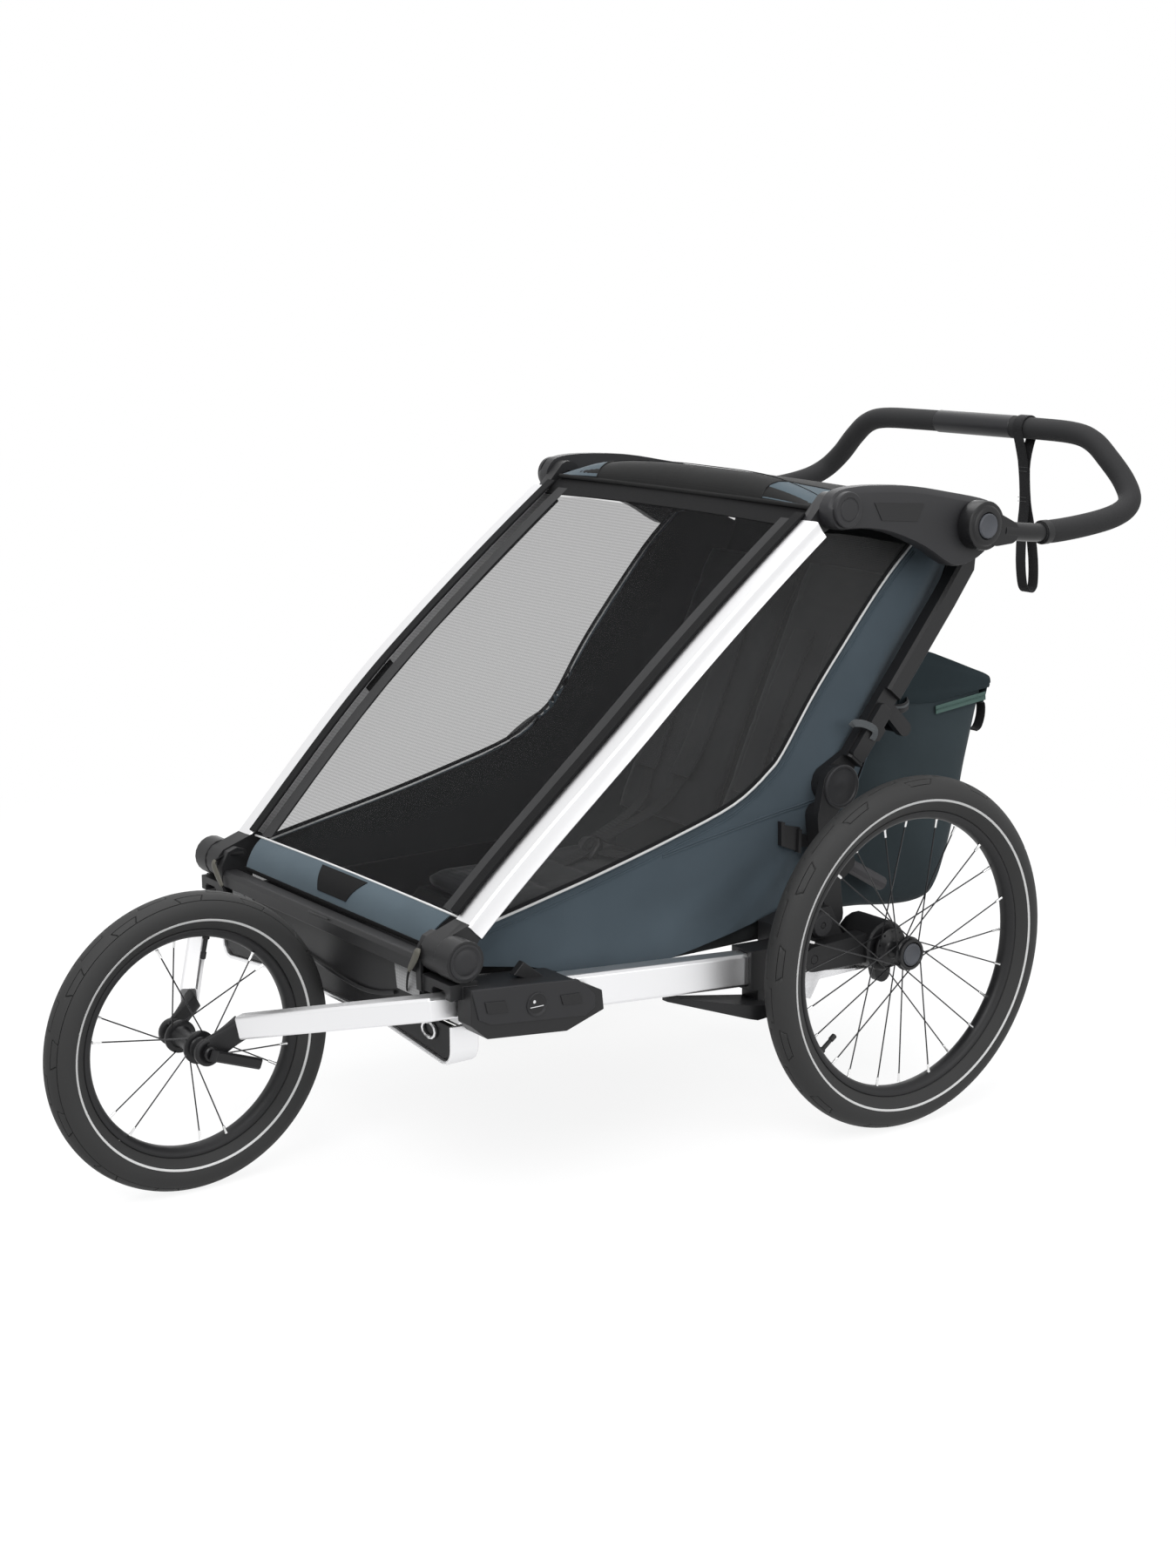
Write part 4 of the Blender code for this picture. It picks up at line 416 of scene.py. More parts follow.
def sweep(path, section, up=Vector((0, 0, 1)), bm=None, scale=None):
    """Carries a closed section of (side, up) points along a path, turned as little as possible."""
    path = [Vector(p) for p in path]
    rows = []
    for i, (point, along) in enumerate(zip(path, headings(path))):
        up = (up - along * up.dot(along)).normalized()
        side = along.cross(up)
        size = scale(i / (len(path) - 1)) if scale else 1.0
        rows.append([point + side * u * size + up * v * size for u, v in section])
    return capped(rows, bm)


def oval(width, height, sides=12):
    """A closed round section, from its half width and half height."""
    turns = [2 * math.pi * i / sides for i in range(sides)]
    return [(width * math.cos(turn), height * math.sin(turn)) for turn in turns]


def ring_section(radius, sides=12):
    """A closed round section."""
    return oval(radius, radius, sides)


def strap_section(width, thickness):
    """Flat webbing: side is its width."""
    w, t, c = width / 2, thickness / 2, thickness * 0.3
    half = [(-w + c, -t), (w - c, -t), (w, -t + c), (w, t - c)]
    return half + [(-u, -v) for u, v in half]


def lathe(profile, centre, segments=64, bm=None, closed=False):
    """Turns (x, radius) points about the X axis through centre."""
    bm = bm or bmesh.new()
    centre = Vector(centre)
    columns = []
    for a, b in ring_section(1, segments):
        columns.append([bm.verts.new(centre + Vector((x, radius * a, radius * b))) for x, radius in profile])
    join(bm, columns, closed, loop=True)
    if not closed:
        for j in (0, -1):
            if profile[j][1] > 0.00001:
                bm.faces.new([column[j] for column in columns])
    return bm


def flipped(profile):
    """The other half of a profile that is the same on both sides."""
    return [(-x, radius) for x, radius in reversed(profile)]


def prism(outline, x0, x1, bm=None):
    """A side-view outline of (y, z) points between two x."""
    bm = bm or bmesh.new()
    near = [bm.verts.new((x1, y, z)) for y, z in outline]
    far = [bm.verts.new((x0, y, z)) for y, z in outline]
    bm.faces.new(near)
    bm.faces.new(list(reversed(far)))
    for i in range(len(outline)):
        k = (i + 1) % len(outline)
        bm.faces.new((near[i], far[i], far[k], near[k]))
    return bm


def block(low, high, bm=None):
    """A box between two corners."""
    outline = [(low[1], low[2]), (high[1], low[2]), (high[1], high[2]), (low[1], high[2])]
    return prism(outline, low[0], high[0], bm)


def circle(centre, radius, count=32):
    """A round outline in the side view."""
    return [(centre[0] + a, centre[1] + b) for a, b in ring_section(radius, count)]


# Camera and light

FLOOR_SHADE, FLOOR_GLOW = 0.24, 0.86     # lifts the lit floor to white and keeps the shadow
FLOOR_HALF, FLOOR_Z = 9.0, -0.0005
FADE_START, FADE_END = 1.1, 2.3          # from here outwards the floor is plain white
WORLD_COLOUR, WORLD_STRENGTH = (0.66, 0.67, 0.69, 1), 0.62
LAMP_AIM = (0, -0.25, 0.45)
CAMERA_LENS, CAMERA_SENSOR = 54.33, 36
CAMERA_AT = (2.66055, -2.21406, 1.19756)
CAMERA_AZIMUTH, CAMERA_ELEVATION = 53.863, 12.662


def camera():
    """The photograph's view."""
    a, e = math.radians(CAMERA_AZIMUTH), math.radians(CAMERA_ELEVATION)
    back = Vector((math.sin(a) * math.cos(e), -math.cos(a) * math.cos(e), math.sin(e)))
    data = bpy.data.cameras.new("camera")
    data.lens = CAMERA_LENS
    data.sensor_width = CAMERA_SENSOR
    made = bpy.data.objects.new("camera", data)
    made.location = place(*CAMERA_AT)
    made.rotation_euler = back.to_track_quat("Z", "Y").to_euler()
    bpy.context.collection.objects.link(made)
    bpy.context.scene.camera = made


def seen(tree):
    """1 for the rays of the camera and of gloss, 0 for the others."""
    ray = add(tree, "ShaderNodeLightPath")
    inputs = {0: ray.outputs["Is Camera Ray"], 1: ray.outputs["Is Glossy Ray"]}
    return add(tree, "ShaderNodeMath", inputs, operation="MAXIMUM").outputs["Value"]


def world():
    """Soft pale light from all round, which the camera and gloss see as white."""
    made = bpy.data.worlds.new("studio")
    bpy.context.scene.world = made
    made.use_nodes = True
    tree = made.node_tree
    soft = tree.nodes["Background"]
    soft.inputs["Color"].default_value = WORLD_COLOUR
    soft.inputs["Strength"].default_value = WORLD_STRENGTH
    white = add(tree, "ShaderNodeBackground", {"Color": (1, 1, 1, 1), "Strength": 1.0})
    shown = add(tree, "ShaderNodeMixShader", {0: seen(tree), 1: soft.outputs[0], 2: white.outputs[0]})
    tree.links.new(shown.outputs[0], tree.nodes["World Output"].inputs["Surface"])


def lamps():
    """Four large soft lamps: name, place, size and power."""
    for name, spot, size, power in (("key", (1.6, -2.4, 2.9), 2.2, 62), ("fill", (3.2, 0.6, 1.6), 2.4, 26),
                                    ("top", (-0.4, 0.2, 3.4), 2.6, 46), ("back", (-2.8, 1.8, 1.8), 2.0, 24)):
        data = bpy.data.lights.new(name, "AREA")
        data.shape = "DISK"
        data.size = size
        data.energy = power
        lamp = bpy.data.objects.new(name, data)
        lamp.location = place(*spot)
        lamp.rotation_euler = (place(*LAMP_AIM) - lamp.location).to_track_quat("-Z", "Y").to_euler()
        bpy.context.collection.objects.link(lamp)


def paper():
    """White paper that keeps the object's shadow, and fades to plain white far out."""
    made = bpy.data.materials.new("paper")
    made.use_nodes = True
    tree = made.node_tree
    matt = tree.nodes["Principled BSDF"]
    matt.inputs["Base Color"].default_value = (*[FLOOR_SHADE] * 3, 1)
    matt.inputs["Roughness"].default_value = 1.0
    matt.inputs["Specular IOR Level"].default_value = 0.0
    glow = add(tree, "ShaderNodeEmission", {"Strength": FLOOR_GLOW})
    lit = add(tree, "ShaderNodeAddShader", {0: matt.outputs[0], 1: glow.outputs[0]})
    spot = add(tree, "ShaderNodeTexCoord").outputs["Object"]
    reach = add(tree, "ShaderNodeVectorMath", {0: spot}, operation="LENGTH").outputs["Value"]
    fade = add(tree, "ShaderNodeMapRange", {"Value": reach, "From Min": FADE_START, "From Max": FADE_END},
               interpolation_type="SMOOTHSTEP").outputs["Result"]
    white = add(tree, "ShaderNodeEmission")
    shown = add(tree, "ShaderNodeMixShader", {0: fade, 1: lit.outputs[0], 2: white.outputs[0]})
    choose = add(tree, "ShaderNodeMixShader", {0: seen(tree), 1: matt.outputs[0], 2: shown.outputs[0]})
    tree.links.new(choose.outputs[0], tree.nodes["Material Output"].inputs["Surface"])
    return made


def floor():
    """Plain floor under the wheels."""
    h = FLOOR_HALF
    bm = bmesh.new()
    bm.faces.new([bm.verts.new((x, y, FLOOR_Z)) for x, y in ((-h, -h), (h, -h), (h, h), (-h, h))])
    mesh = bpy.data.meshes.new("floor")
    bm.to_mesh(mesh)
    bm.free()
    made = bpy.data.objects.new("floor", mesh)
    bpy.context.collection.objects.link(made)
    mesh.materials.append(paper())


bpy.context.scene.view_settings.view_transform = "Standard"
camera()
world()
lamps()
floor()


# Solids that stay, with a better finish

WELD_REACH, SHARP_ANGLE = 0.00001, math.radians(33)


def welded_edges():
    """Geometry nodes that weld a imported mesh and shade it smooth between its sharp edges."""
    tree = bpy.data.node_groups.new("welded_edges", "GeometryNodeTree")
    for in_out in ("INPUT", "OUTPUT"):
        tree.interface.new_socket("Geometry", in_out=in_out, socket_type="NodeSocketGeometry")
    entry = tree.nodes.new("NodeGroupInput").outputs["Geometry"]
    weld = add(tree, "GeometryNodeMergeByDistance", {"Geometry": entry, "Distance": WELD_REACH})
    shade = add(tree, "GeometryNodeSetShadeSmooth", {"Geometry": weld.outputs[0]})
    turn = tree.nodes.new("GeometryNodeInputMeshEdgeAngle").outputs["Unsigned Angle"]
    steep = add(tree, "FunctionNodeCompare", {"A": turn, "B": SHARP_ANGLE}, operation="GREATER_THAN")
    inputs = {"Geometry": shade.outputs[0], "Selection": steep.outputs[0], "Shade Smooth": False}
    sharp = add(tree, "GeometryNodeSetShadeSmooth", inputs, domain="EDGE")
    add(tree, "NodeGroupOutput", {"Geometry": sharp.outputs[0]})
    return tree


WELDED = welded_edges()


def keep(names, finish, edge):
    """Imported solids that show: their finish, welded and with edges softened by this width."""
    for name in names:
        node = NODES[name]
        mesh = node.data
        if "custom_normal" in mesh.attributes:
            mesh.attributes.remove(mesh.attributes["custom_normal"])
        mesh.materials.clear()
        mesh.materials.append(finish)
        modifier = node.modifiers.new("weld", "NODES")
        modifier.node_group = WELDED
        if edge:
            rounded(node, edge)


def sides(*names):
    """The left and right nodes of these names."""
    return [f"{name}_{side}" for name in names for side, _ in SIDES]


for shown, finish, edge in (
        (sides("side_rail", "jog_arm"), SILVER, 0.0016), (["front_crossbar"], SILVER, 0.0012),
        (["tether_ring"], STEEL, 0), (sides("leaf_spring"), STEEL, 0.0006),
        (["front_beam", "cabin_tub"], BLACK, 0.0015), (["skid_plate"], BLACK, 0.0010),
        (sides("arm_socket"), BLACK, 0.0016), (sides("pillar"), BLACK, 0.0012),
        (["rear_frame", "upright_frame"], BLACK, 0.0012), (sides("swing_arm", "fold_latch"), BLACK, 0.0010),
        (sides("suspension_dial"), DARK, 0.0010), (sides("arm_lock"), GLOSS, 0.0006),
        (sides("handle_button", "wheel_button"), GREY, 0.0008), (["brake_lever"], TAUPE, 0.0015),
        (["front_skewer", "skewer_lever"], GLOSS, 0.0008)):
    keep(shown, finish, edge)


# Wheels

RIM_WIDTH, RIM_DEPTH = 0.026, 0.0125
PITCHES = 13
# The tread's places: shares of a pitch along it, and degrees from its middle across it
TREAD_SHARES = (0.0, 0.024, 0.04, 0.056, 0.12, 0.20, 0.28, 0.36, 0.424, 0.44, 0.456, 0.50, 0.524, 0.54,
                0.556, 0.62, 0.70, 0.78, 0.86, 0.924, 0.94, 0.956)
TREAD_TURNS = [5, 9, 11.9, 13, 14.1, 18, 23, 26.8, 28, 29.2, 34, 40, 45, 48.8, 50, 51.2, 56, 64, 73, 84, 98,
               113, 128]
STRIPE_R, FRONT_STRIPE_R = 0.2193, 0.1664
SHOULDER_GROOVE, RIB_GROOVE, CROWN_GROOVE = 0.0016, 0.0014, 0.0016
HUB_IN_X, HUB_LENGTH = 0.3385, 0.0505
HUB_FLANGES = ((0.007, 0.0250), (HUB_LENGTH - 0.009, 0.0212))
SPOKE_R, NIPPLE_R, VALVE_R, SPOKE_OFFSET, ELBOW = 0.0010, 0.0019, 0.0032, 0.0024, 0.0045
REAR_SPOKES, REAR_LEAN_TURN, REAR_VALVE = 24, 62, 216
FRONT_PAIRS, FRONT_LEAN_TURN, FRONT_SPREAD, FRONT_FIRST, FRONT_VALVE = 6, 34, 6.5, -78, 78


def groove(t, share, lined):
    """Depth of the tread's grooves: shoulder brackets on one half pitch, crown brackets on the other."""
    if t < 0:
        share = (share + 0.5) % 1.0
    t = abs(t)
    shoulder, crown = 0.04 <= share <= 0.44, 0.54 <= share <= 0.94
    if t == 50 and (lined or shoulder):
        return RIB_GROOVE
    if (27.9 < t < 50.1 and share in (0.04, 0.44)) or (t == 28 and shoulder):
        return SHOULDER_GROOVE
    if (t in (5, 9, 13) and share in (0.54, 0.94)) or (t == 13 and crown):
        return CROWN_GROOVE
    return 0.0


def tyre(name, centre, outer_r, stripe_r, lined, node, body):
    """Round tyre with thin bracket grooves in its tread, and a stripe on each wall."""
    radius = TYRE_WIDTH / 2
    middle = outer_r - radius
    foot, bead = RIM_WIDTH / 2 - 0.001, outer_r - TYRE_HEIGHT
    turns = [-t for t in reversed(TREAD_TURNS)] + [0] + TREAD_TURNS
    bm = bmesh.new()
    columns = []
    for angle, share in [(2 * math.pi * (p + share) / PITCHES, share) for p in range(PITCHES)
                         for share in TREAD_SHARES]:
        column = []
        for t in turns:
            depth = groove(t, share, lined)
            turn = math.radians(t)
            r = middle + (radius - depth) * math.cos(turn)
            at = share if t >= 0 else (share + 0.5) % 1.0
            lean = (0.24 - at) * 0.22 * smooth((abs(t) - 28) / 20) if at <= 0.5 else 0.0
            skew = angle + lean * 2 * math.pi / PITCHES
            column.append(((radius - depth) * math.sin(turn), r * math.cos(skew), r * math.sin(skew)))
        low, high = [(side * foot, bead * math.cos(angle), bead * math.sin(angle)) for side in (-1, 1)]
        columns.append([bm.verts.new(Vector(centre) + Vector(spot)) for spot in [low] + column + [high]])
    join(bm, columns, closed=True, loop=True)
    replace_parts(build(name, bm, TYRE, body, "tyre", angle=50), node)
    rise = stripe_r - middle
    lean = math.atan2(math.sqrt(radius ** 2 - rise ** 2), rise)
    profile = []
    for out, places in ((0.0004, (-2, -1, 0, 1, 2)), (-0.0005, (2, -2))):
        for k in places:
            turn = lean + k * 0.033
            profile.append(((radius + out) * math.sin(turn), middle + (radius + out) * math.cos(turn)))
    bm = lathe(profile, centre, 160, closed=True)
    lathe(flipped(profile), centre, 160, bm=bm, closed=True)
    build(name + "_stripe", bm, STRIPE, body, "tyre")


def rim(name, centre, bead_r, node, body):
    """Rim with a rolled edge on each side and rounded inner corners."""
    half = RIM_WIDTH / 2
    crown = bead_r - 0.0003
    right = [(half - 0.0012, crown), (half, crown - 0.0012), (half - 0.0006, crown - 0.0048),
             (half - 0.0024, crown - 0.0080), (0.0078, crown - 0.0106), (0.0048, crown - 0.0121),
             (0.0020, crown - 0.0125)]
    bm = lathe(right + flipped(right), centre, 128, closed=True)
    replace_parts(build(name, bm, BLACK, body, angle=60), node)


def spokes(name, centre, flanges, rims, leans, rim_r, body, valve_turn):
    """Round crossed spokes with their nipples, and the valve."""
    wires, nipples = bmesh.new(), bmesh.new()
    middle = Vector(centre)
    for i, (at_rim, lean) in enumerate(zip(rims, leans)):
        x, pitch_r = flanges[i % 2]
        at_hub = at_rim + math.radians(lean)
        offset = SPOKE_OFFSET if (i // 2) % 2 else -SPOKE_OFFSET
        start = middle + Vector((x + offset, pitch_r * math.cos(at_hub), pitch_r * math.sin(at_hub)))
        end = middle + Vector((0.25 * (x + offset), rim_r * math.cos(at_rim), rim_r * math.sin(at_rim)))
        along = (end - start).normalized()
        inwards = Vector((math.copysign(ELBOW, -offset), 0, 0))
        elbow = [start + inwards, start + inwards * 0.35, start + along * 0.0018, end]
        sweep(elbow, ring_section(SPOKE_R, 8), up=Vector((0.3, 1, 0.2)), bm=wires)
        tip = [end - along * drop for drop in (0.0120, 0.0115, 0.003, -0.0002)]
        sizes = (0.75, 1.0, 1.0, 1.35)
        sweep(tip, ring_section(NIPPLE_R, 8), up=Vector((0.3, 1, 0.2)), bm=nipples,
              scale=lambda t: sizes[round(t * 3)])
    build(name + "_spokes", wires, SPOKE, body, "steel")
    build(name + "_nipples", nipples, NIPPLE, body, "steel")
    turn = math.radians(valve_turn)
    out = Vector((0, math.cos(turn), math.sin(turn)))
    foot = middle + out * rim_r
    stem = [foot - out * drop for drop in (-0.003, 0.003, 0.004, 0.020, 0.0205, 0.0290, 0.0300)]
    widths = (1.5, 1.5, 1.0, 0.92, 1.22, 1.22, 0.9)
    bm = sweep(stem, ring_section(VALVE_R, 16), up=Vector((1, 0, 0)), scale=lambda t: widths[round(t * 6)])
    build(name + "_valve", bm, BLACK, body, angle=30)


def rear_wheel(side, put):
    """Tyre, rim, spoked hub with its dished cap, and a ring round the release button."""
    factor = dict(SIDES)[side]
    body = f"rear_wheel_{side}"
    centre = (factor * TRACK_X, 0, REAR_R)
    bead = REAR_R - TYRE_HEIGHT
    tyre(f"tyre_rear_{side}", centre, REAR_R, STRIPE_R, False, f"rear_tyre_{side}", body)
    rim(f"rim_rear_{side}", centre, bead, f"rear_rim_{side}", body)
    start = HUB_IN_X - TRACK_X
    end = start + HUB_LENGTH
    profile = [(start + x, r) for x, r in (
        (0, 0.0066), (0, 0.0120), (0.001, 0.0128), (0.004, 0.0132), (0.0046, 0.0262), (0.0056, 0.0280),
        (0.0084, 0.0280), (0.0094, 0.0262), (0.0115, 0.0160), (0.015, 0.0128), (0.024, 0.0119))]
    profile += [(end - x, r) for x, r in (
        (0.017, 0.0124), (0.0132, 0.0160), (0.0116, 0.0228), (0.0106, 0.0240), (0.0076, 0.0240),
        (0.0066, 0.0232), (0.0058, 0.0223), (0.0046, 0.0220), (0.0012, 0.0220), (0, 0.0208), (0, 0.0180),
        (0.0010, 0.0171), (0.0030, 0.0165), (0.0082, 0.0165), (0.0082, 0.0066))]
    bm = lathe(profile, (TRACK_X, 0, REAR_R), 64, closed=True)
    for flange_x, flange_r in ((start + 0.007, 0.0245), (end - 0.009, 0.0212)):
        for i in range(10):
            turn = 2 * math.pi * (i + 0.5) / 10
            spot = (flange_r * math.cos(turn), REAR_R + flange_r * math.sin(turn))
            prism(circle(spot, 0.0016, 8), TRACK_X + flange_x - 0.0034, TRACK_X + flange_x + 0.0034, bm)
    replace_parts(put("hub_rear", bm, GLOSS, body), f"rear_hub_{side}")
    flanges = [(factor * (start + x), r) for x, r in HUB_FLANGES]
    rims = [2 * math.pi * i / REAR_SPOKES for i in range(REAR_SPOKES)]
    leans = [REAR_LEAN_TURN if (i // 2) % 2 else -REAR_LEAN_TURN for i in range(REAR_SPOKES)]
    spokes(f"rear_{side}", centre, flanges, rims, leans, bead - RIM_DEPTH - 0.0005, body, REAR_VALVE)
    face = TRACK_X + end
    bm = lathe([(0, 0.0140), (0.0006, 0.0134), (0.0005, 0.0118), (0.0001, 0.0112)],
               (face - 0.00005, 0, REAR_R), 48)
    put("button_ring", bm, GREY, f"wheel_button_{side}", "grey_plastic")


def front_wheel():
    """Tyre, rim and spoked hub."""
    centre = (0, *FRONT_AXLE)
    bead = FRONT_R - TYRE_HEIGHT
    tyre("tyre_front", centre, FRONT_R, FRONT_STRIPE_R, True, "front_tyre", "front_wheel")
    rim("rim_front", centre, bead, "front_rim", "front_wheel")
    half = [(0.0455, 0.0054), (0.0460, 0.0100), (0.0440, 0.0112), (0.0330, 0.0125), (0.0300, 0.0150),
            (0.0294, 0.0206), (0.0286, 0.0220), (0.0254, 0.0220), (0.0246, 0.0206), (0.0238, 0.0150),
            (0.0190, 0.0126), (0.0080, 0.0120)]
    bm = lathe(half + flipped(half), centre, 56, closed=True)
    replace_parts(build("hub_front", bm, GLOSS, "front_wheel"), "front_hub")
    rims, leans = [], []
    for pair in range(FRONT_PAIRS):
        for sign in (1, -1):
            rims.append(math.radians(FRONT_FIRST + 360 / FRONT_PAIRS * pair + FRONT_SPREAD * sign))
            leans.append(-FRONT_LEAN_TURN * sign)
    spokes("front", centre, [(0.027, 0.019), (-0.027, 0.019)], rims, leans, bead - RIM_DEPTH - 0.0005,
           "front_wheel", FRONT_VALVE)


both_sides(rear_wheel)
front_wheel()


# Handlebar

HANDLE_TUBE_R, GRIP_R = 0.0130, 0.0165
HANDLE_TOP_Z, HANDLE_REAR_Y = 0.936, 0.478
KNUCKLE_R = 0.034
BARE_STEPS = 8                           # points of the bar's route outside its grip, at each end
STRAP_X = 0.108


def handle_route(side):
    """Half of the bent bar, from its knuckle to the middle."""
    x = KNUCKLE_IN_X + HANDLE_TUBE_R + 0.0003
    y, z = HANDLE_REAR_Y, HANDLE_TOP_Z
    route = [(x, HANDLE_PIVOT[0] + 0.036, 0.8220), (x, 0.260, 0.8135), (x - 0.004, 0.350, 0.8165),
             (x - 0.008, 0.425, 0.8265), (x - 0.018, 0.464, 0.8430), (x - 0.042, y, 0.8690),
             (x - 0.075, y, 0.9010), (x - 0.106, y, 0.9240), (x - 0.146, y, z - 0.002), (0.120, y, z)]
    return [(side * px, py, pz) for px, py, pz in route]


def handlebar():
    """Bent bar, its two hub knuckles, the foam grip and the smoother sleeve in its middle."""
    left, right = handle_route(1), handle_route(-1)
    route = smooth_path(left + [(0.0, HANDLE_REAR_Y, HANDLE_TOP_Z)] + list(reversed(right)), 8)
    bm = sweep(route, ring_section(HANDLE_TUBE_R, 24))
    for side in (1, -1):
        knuckle(bm, side)
    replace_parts(build("handle_tube", bm, GLOSS, "handle", angle=32), "handlebar")
    grip = route[BARE_STEPS:-BARE_STEPS]

    def swell(t):
        from_end = min(t, 1 - t) * len(grip)
        return 0.86 + 0.14 * smooth(from_end / 1.6)
    bm = sweep(grip, ring_section(GRIP_R, 32), scale=swell)
    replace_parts(build("grip_foam", bm, FOAM, "handle", "grip_foam", angle=60), "handle_grip")
    wrap = [(x, HANDLE_REAR_Y, HANDLE_TOP_Z) for x in (-0.0761, -0.0750, -0.045, 0, 0.045, 0.0856, 0.0867)]
    bm = sweep(wrap, ring_section(GRIP_R + 0.0011, 32), scale=lambda t: 0.95 if t in (0, 1) else 1.0)
    build("grip_sleeve", bm, WRAP, "handle", "grip_foam")
    for side, start, following in (("left", grip[1], grip[2]), ("right", grip[-2], grip[-3])):
        along = (following - start).normalized()
        points = [start + along * reach for reach in (-0.010, -0.009, 0.002, 0.003)]
        bm = sweep(points, ring_section(GRIP_R + 0.0006, 32), scale=lambda t: 0.94 if t in (0, 1) else 1.0)
        build(f"grip_collar_{side}", bm, BLACK, "handle")


def capsule(a, b, ra, rb, count=20):
    """Outline of two joined circles in the side view."""
    a, b = Vector(a), Vector(b)
    heading = math.atan2(b.y - a.y, b.x - a.x)
    spread = math.acos(max(-1, min(1, (ra - rb) / (b - a).length)))
    points = []
    for spot, radius, start, run in ((a, ra, heading + spread, 2 * math.pi - 2 * spread),
                                     (b, rb, heading - spread, 2 * spread)):
        for i in range(count + 1):
            turn = start + run * i / count
            points.append((spot.x + radius * math.cos(turn), spot.y + radius * math.sin(turn)))
    return points


def knuckle(bm, side):
    """Hub of the bar: a ring round the button, an inner step, and a neck to the bar."""
    x0, x1 = KNUCKLE_IN_X, KNUCKLE_OUT_X
    well = 0.014
    profile = [(x0 + 0.0002, 0.0105), (x0 + 0.0002, 0.0315), (x0 + 0.0016, KNUCKLE_R),
               (x1 - 0.0050, KNUCKLE_R), (x1 - 0.0032, 0.0331), (x1 - 0.0026, 0.0305),
               (x1 - 0.0026, 0.0285), (x1 - 0.0008, 0.0268), (x1, 0.0252), (x1, 0.0196),
               (x1 - 0.0012, 0.0179), (x1 - well, 0.0179), (x1 - well, 0.0105)]
    part = lathe(profile, (0, *HANDLE_PIVOT), 64, closed=True)
    py, pz = HANDLE_PIVOT
    neck = capsule((py + 0.020, pz - 0.007), (py + 0.046, pz - 0.012), 0.022, 0.0155)
    neck = [(y, z) for y, z in neck if math.hypot(y - py, z - pz) > 0.0215]
    prism(neck, x0 + 0.0006, x1 - 0.0010, part)
    merge(bm, mirror(part, side))


def button_face(side, put):
    """A shallow dish and ring on the handle's hub button."""
    face = KNUCKLE_OUT_X + 0.001
    bm = lathe([(-0.0001, 0.0168), (0.0007, 0.0160), (0.0007, 0.0142), (0.0002, 0.0132), (0.0002, 0.0001)],
               (face, *HANDLE_PIVOT), 56)
    put("button_face", bm, GREY, f"handle_button_{side}", "grey_plastic")


def wrist_strap():
    """Webbing loop round the bar, sewn below it, and hanging as a long slack loop."""
    top, y = HANDLE_TOP_Z, HANDLE_REAR_Y
    reach = 0.0184
    route = []
    for i in range(15):
        turn = math.radians(206 - 16.6 * i)
        route.append((y + reach * math.cos(turn), top + reach * math.sin(turn)))
    down = [(y + ahead, top - drop) for ahead, drop in (
        (0.0075, 0.032), (0.0022, 0.062), (0.0020, 0.112), (0.0085, 0.150), (0.0135, 0.200), (0.0115, 0.236),
        (0.0060, 0.247), (-0.0010, 0.2496), (-0.0080, 0.246), (-0.0125, 0.234), (-0.0140, 0.200),
        (-0.0085, 0.150), (-0.0016, 0.112), (-0.0014, 0.062), (-0.0085, 0.032))]
    points = smooth_path([(0, a, b) for a, b in route + down + [route[0]]], 3)[:-1]
    rows = []
    for point, along in zip(points, headings(points, loop=True)):
        out = Vector((0, along.z, -along.y))
        sway = 0.10 * max(0.0, top - 0.06 - point.z)
        rows.append([Vector((STRAP_X + u + sway, point.y, point.z)) + out * v
                     for u, v in strap_section(0.020, 0.0022)])
    rows.append(rows[0])
    strap = build("strap_wrist", grid(rows, closed=True)[0], WEB, "handle", angle=40)
    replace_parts(strap, "wrist_strap")
    stitches = bmesh.new()
    for row in (-0.060, -0.066, -0.106, -0.112):
        for i in range(5):
            x = STRAP_X - 0.0072 + 0.0036 * i
            for dy in (0.0036, -0.0030):
                block((x, y + dy - 0.0003, top + row - 0.0004),
                      (x + 0.0022, y + dy + 0.0003, top + row + 0.0004), stitches)
    build("strap_stitches", stitches, plain("stitch_thread", (0.10, 0.10, 0.10), 0.7), "handle")


handlebar()
both_sides(button_face)
wrist_strap()


# Front cover, roof and side cloth

# Per kind of cloth: a height that cloth would sink towards as the frame folds, and the share of its distance
# that it would keep; crumple() takes both and moves nothing
SIDE_SINKS, BACK_SINKS, SEAT_SINKS, BAG_SINKS = (0.300, 0.23), (0.318, 0.20), (0.270, 0.20), (0.250, 0.45)


def crumple(pieces, height, share):
    """Gives each piece of cloth a mesh of its own; the height and the share move nothing."""
    for piece in pieces:
        place(0, 0, height)
        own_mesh(piece)


def rear_y(z):
    """The rear panel's slanted line."""
    return REAR_LINE[0] + (z - REAR_LINE[1]) * REAR_LEAN


REAR_BULGE, BULGE_RISE, BULGE_FOOT_Z = 0.028, 0.43, 0.645


def rear_out(z):
    """The rear panel's line with its bulge behind the uprights' tops."""
    return rear_y(z) + min(REAR_BULGE, BULGE_RISE * max(0.0, z - BULGE_FOOT_Z))


def pillar_point(s):
    """The pillar's middle line in the side view, from its foot, s 0, to its head, s 1."""
    foot, head = Vector(FRONT_PIVOT), Vector(TOP_PIVOT)
    chord = head - foot
    normal = Vector((-chord.y, chord.x)).normalized()
    return foot + chord * s + normal * (-PILLAR_FOOT_DROP * (1 - s) + PILLAR_BOW * 4 * s * (1 - s))


def pillar_in_x(s):
    """How far out the pillar's inner face is."""
    return PILLAR_FOOT_X + (PILLAR_TOP_X - PILLAR_FOOT_X) * smooth(s / 0.5)


def pillar_normal(s):
    """The way out of the pillar's front, in the side view."""
    along = (pillar_point(s + 0.01) - pillar_point(s - 0.01)).normalized()
    return Vector((-along.y, along.x))


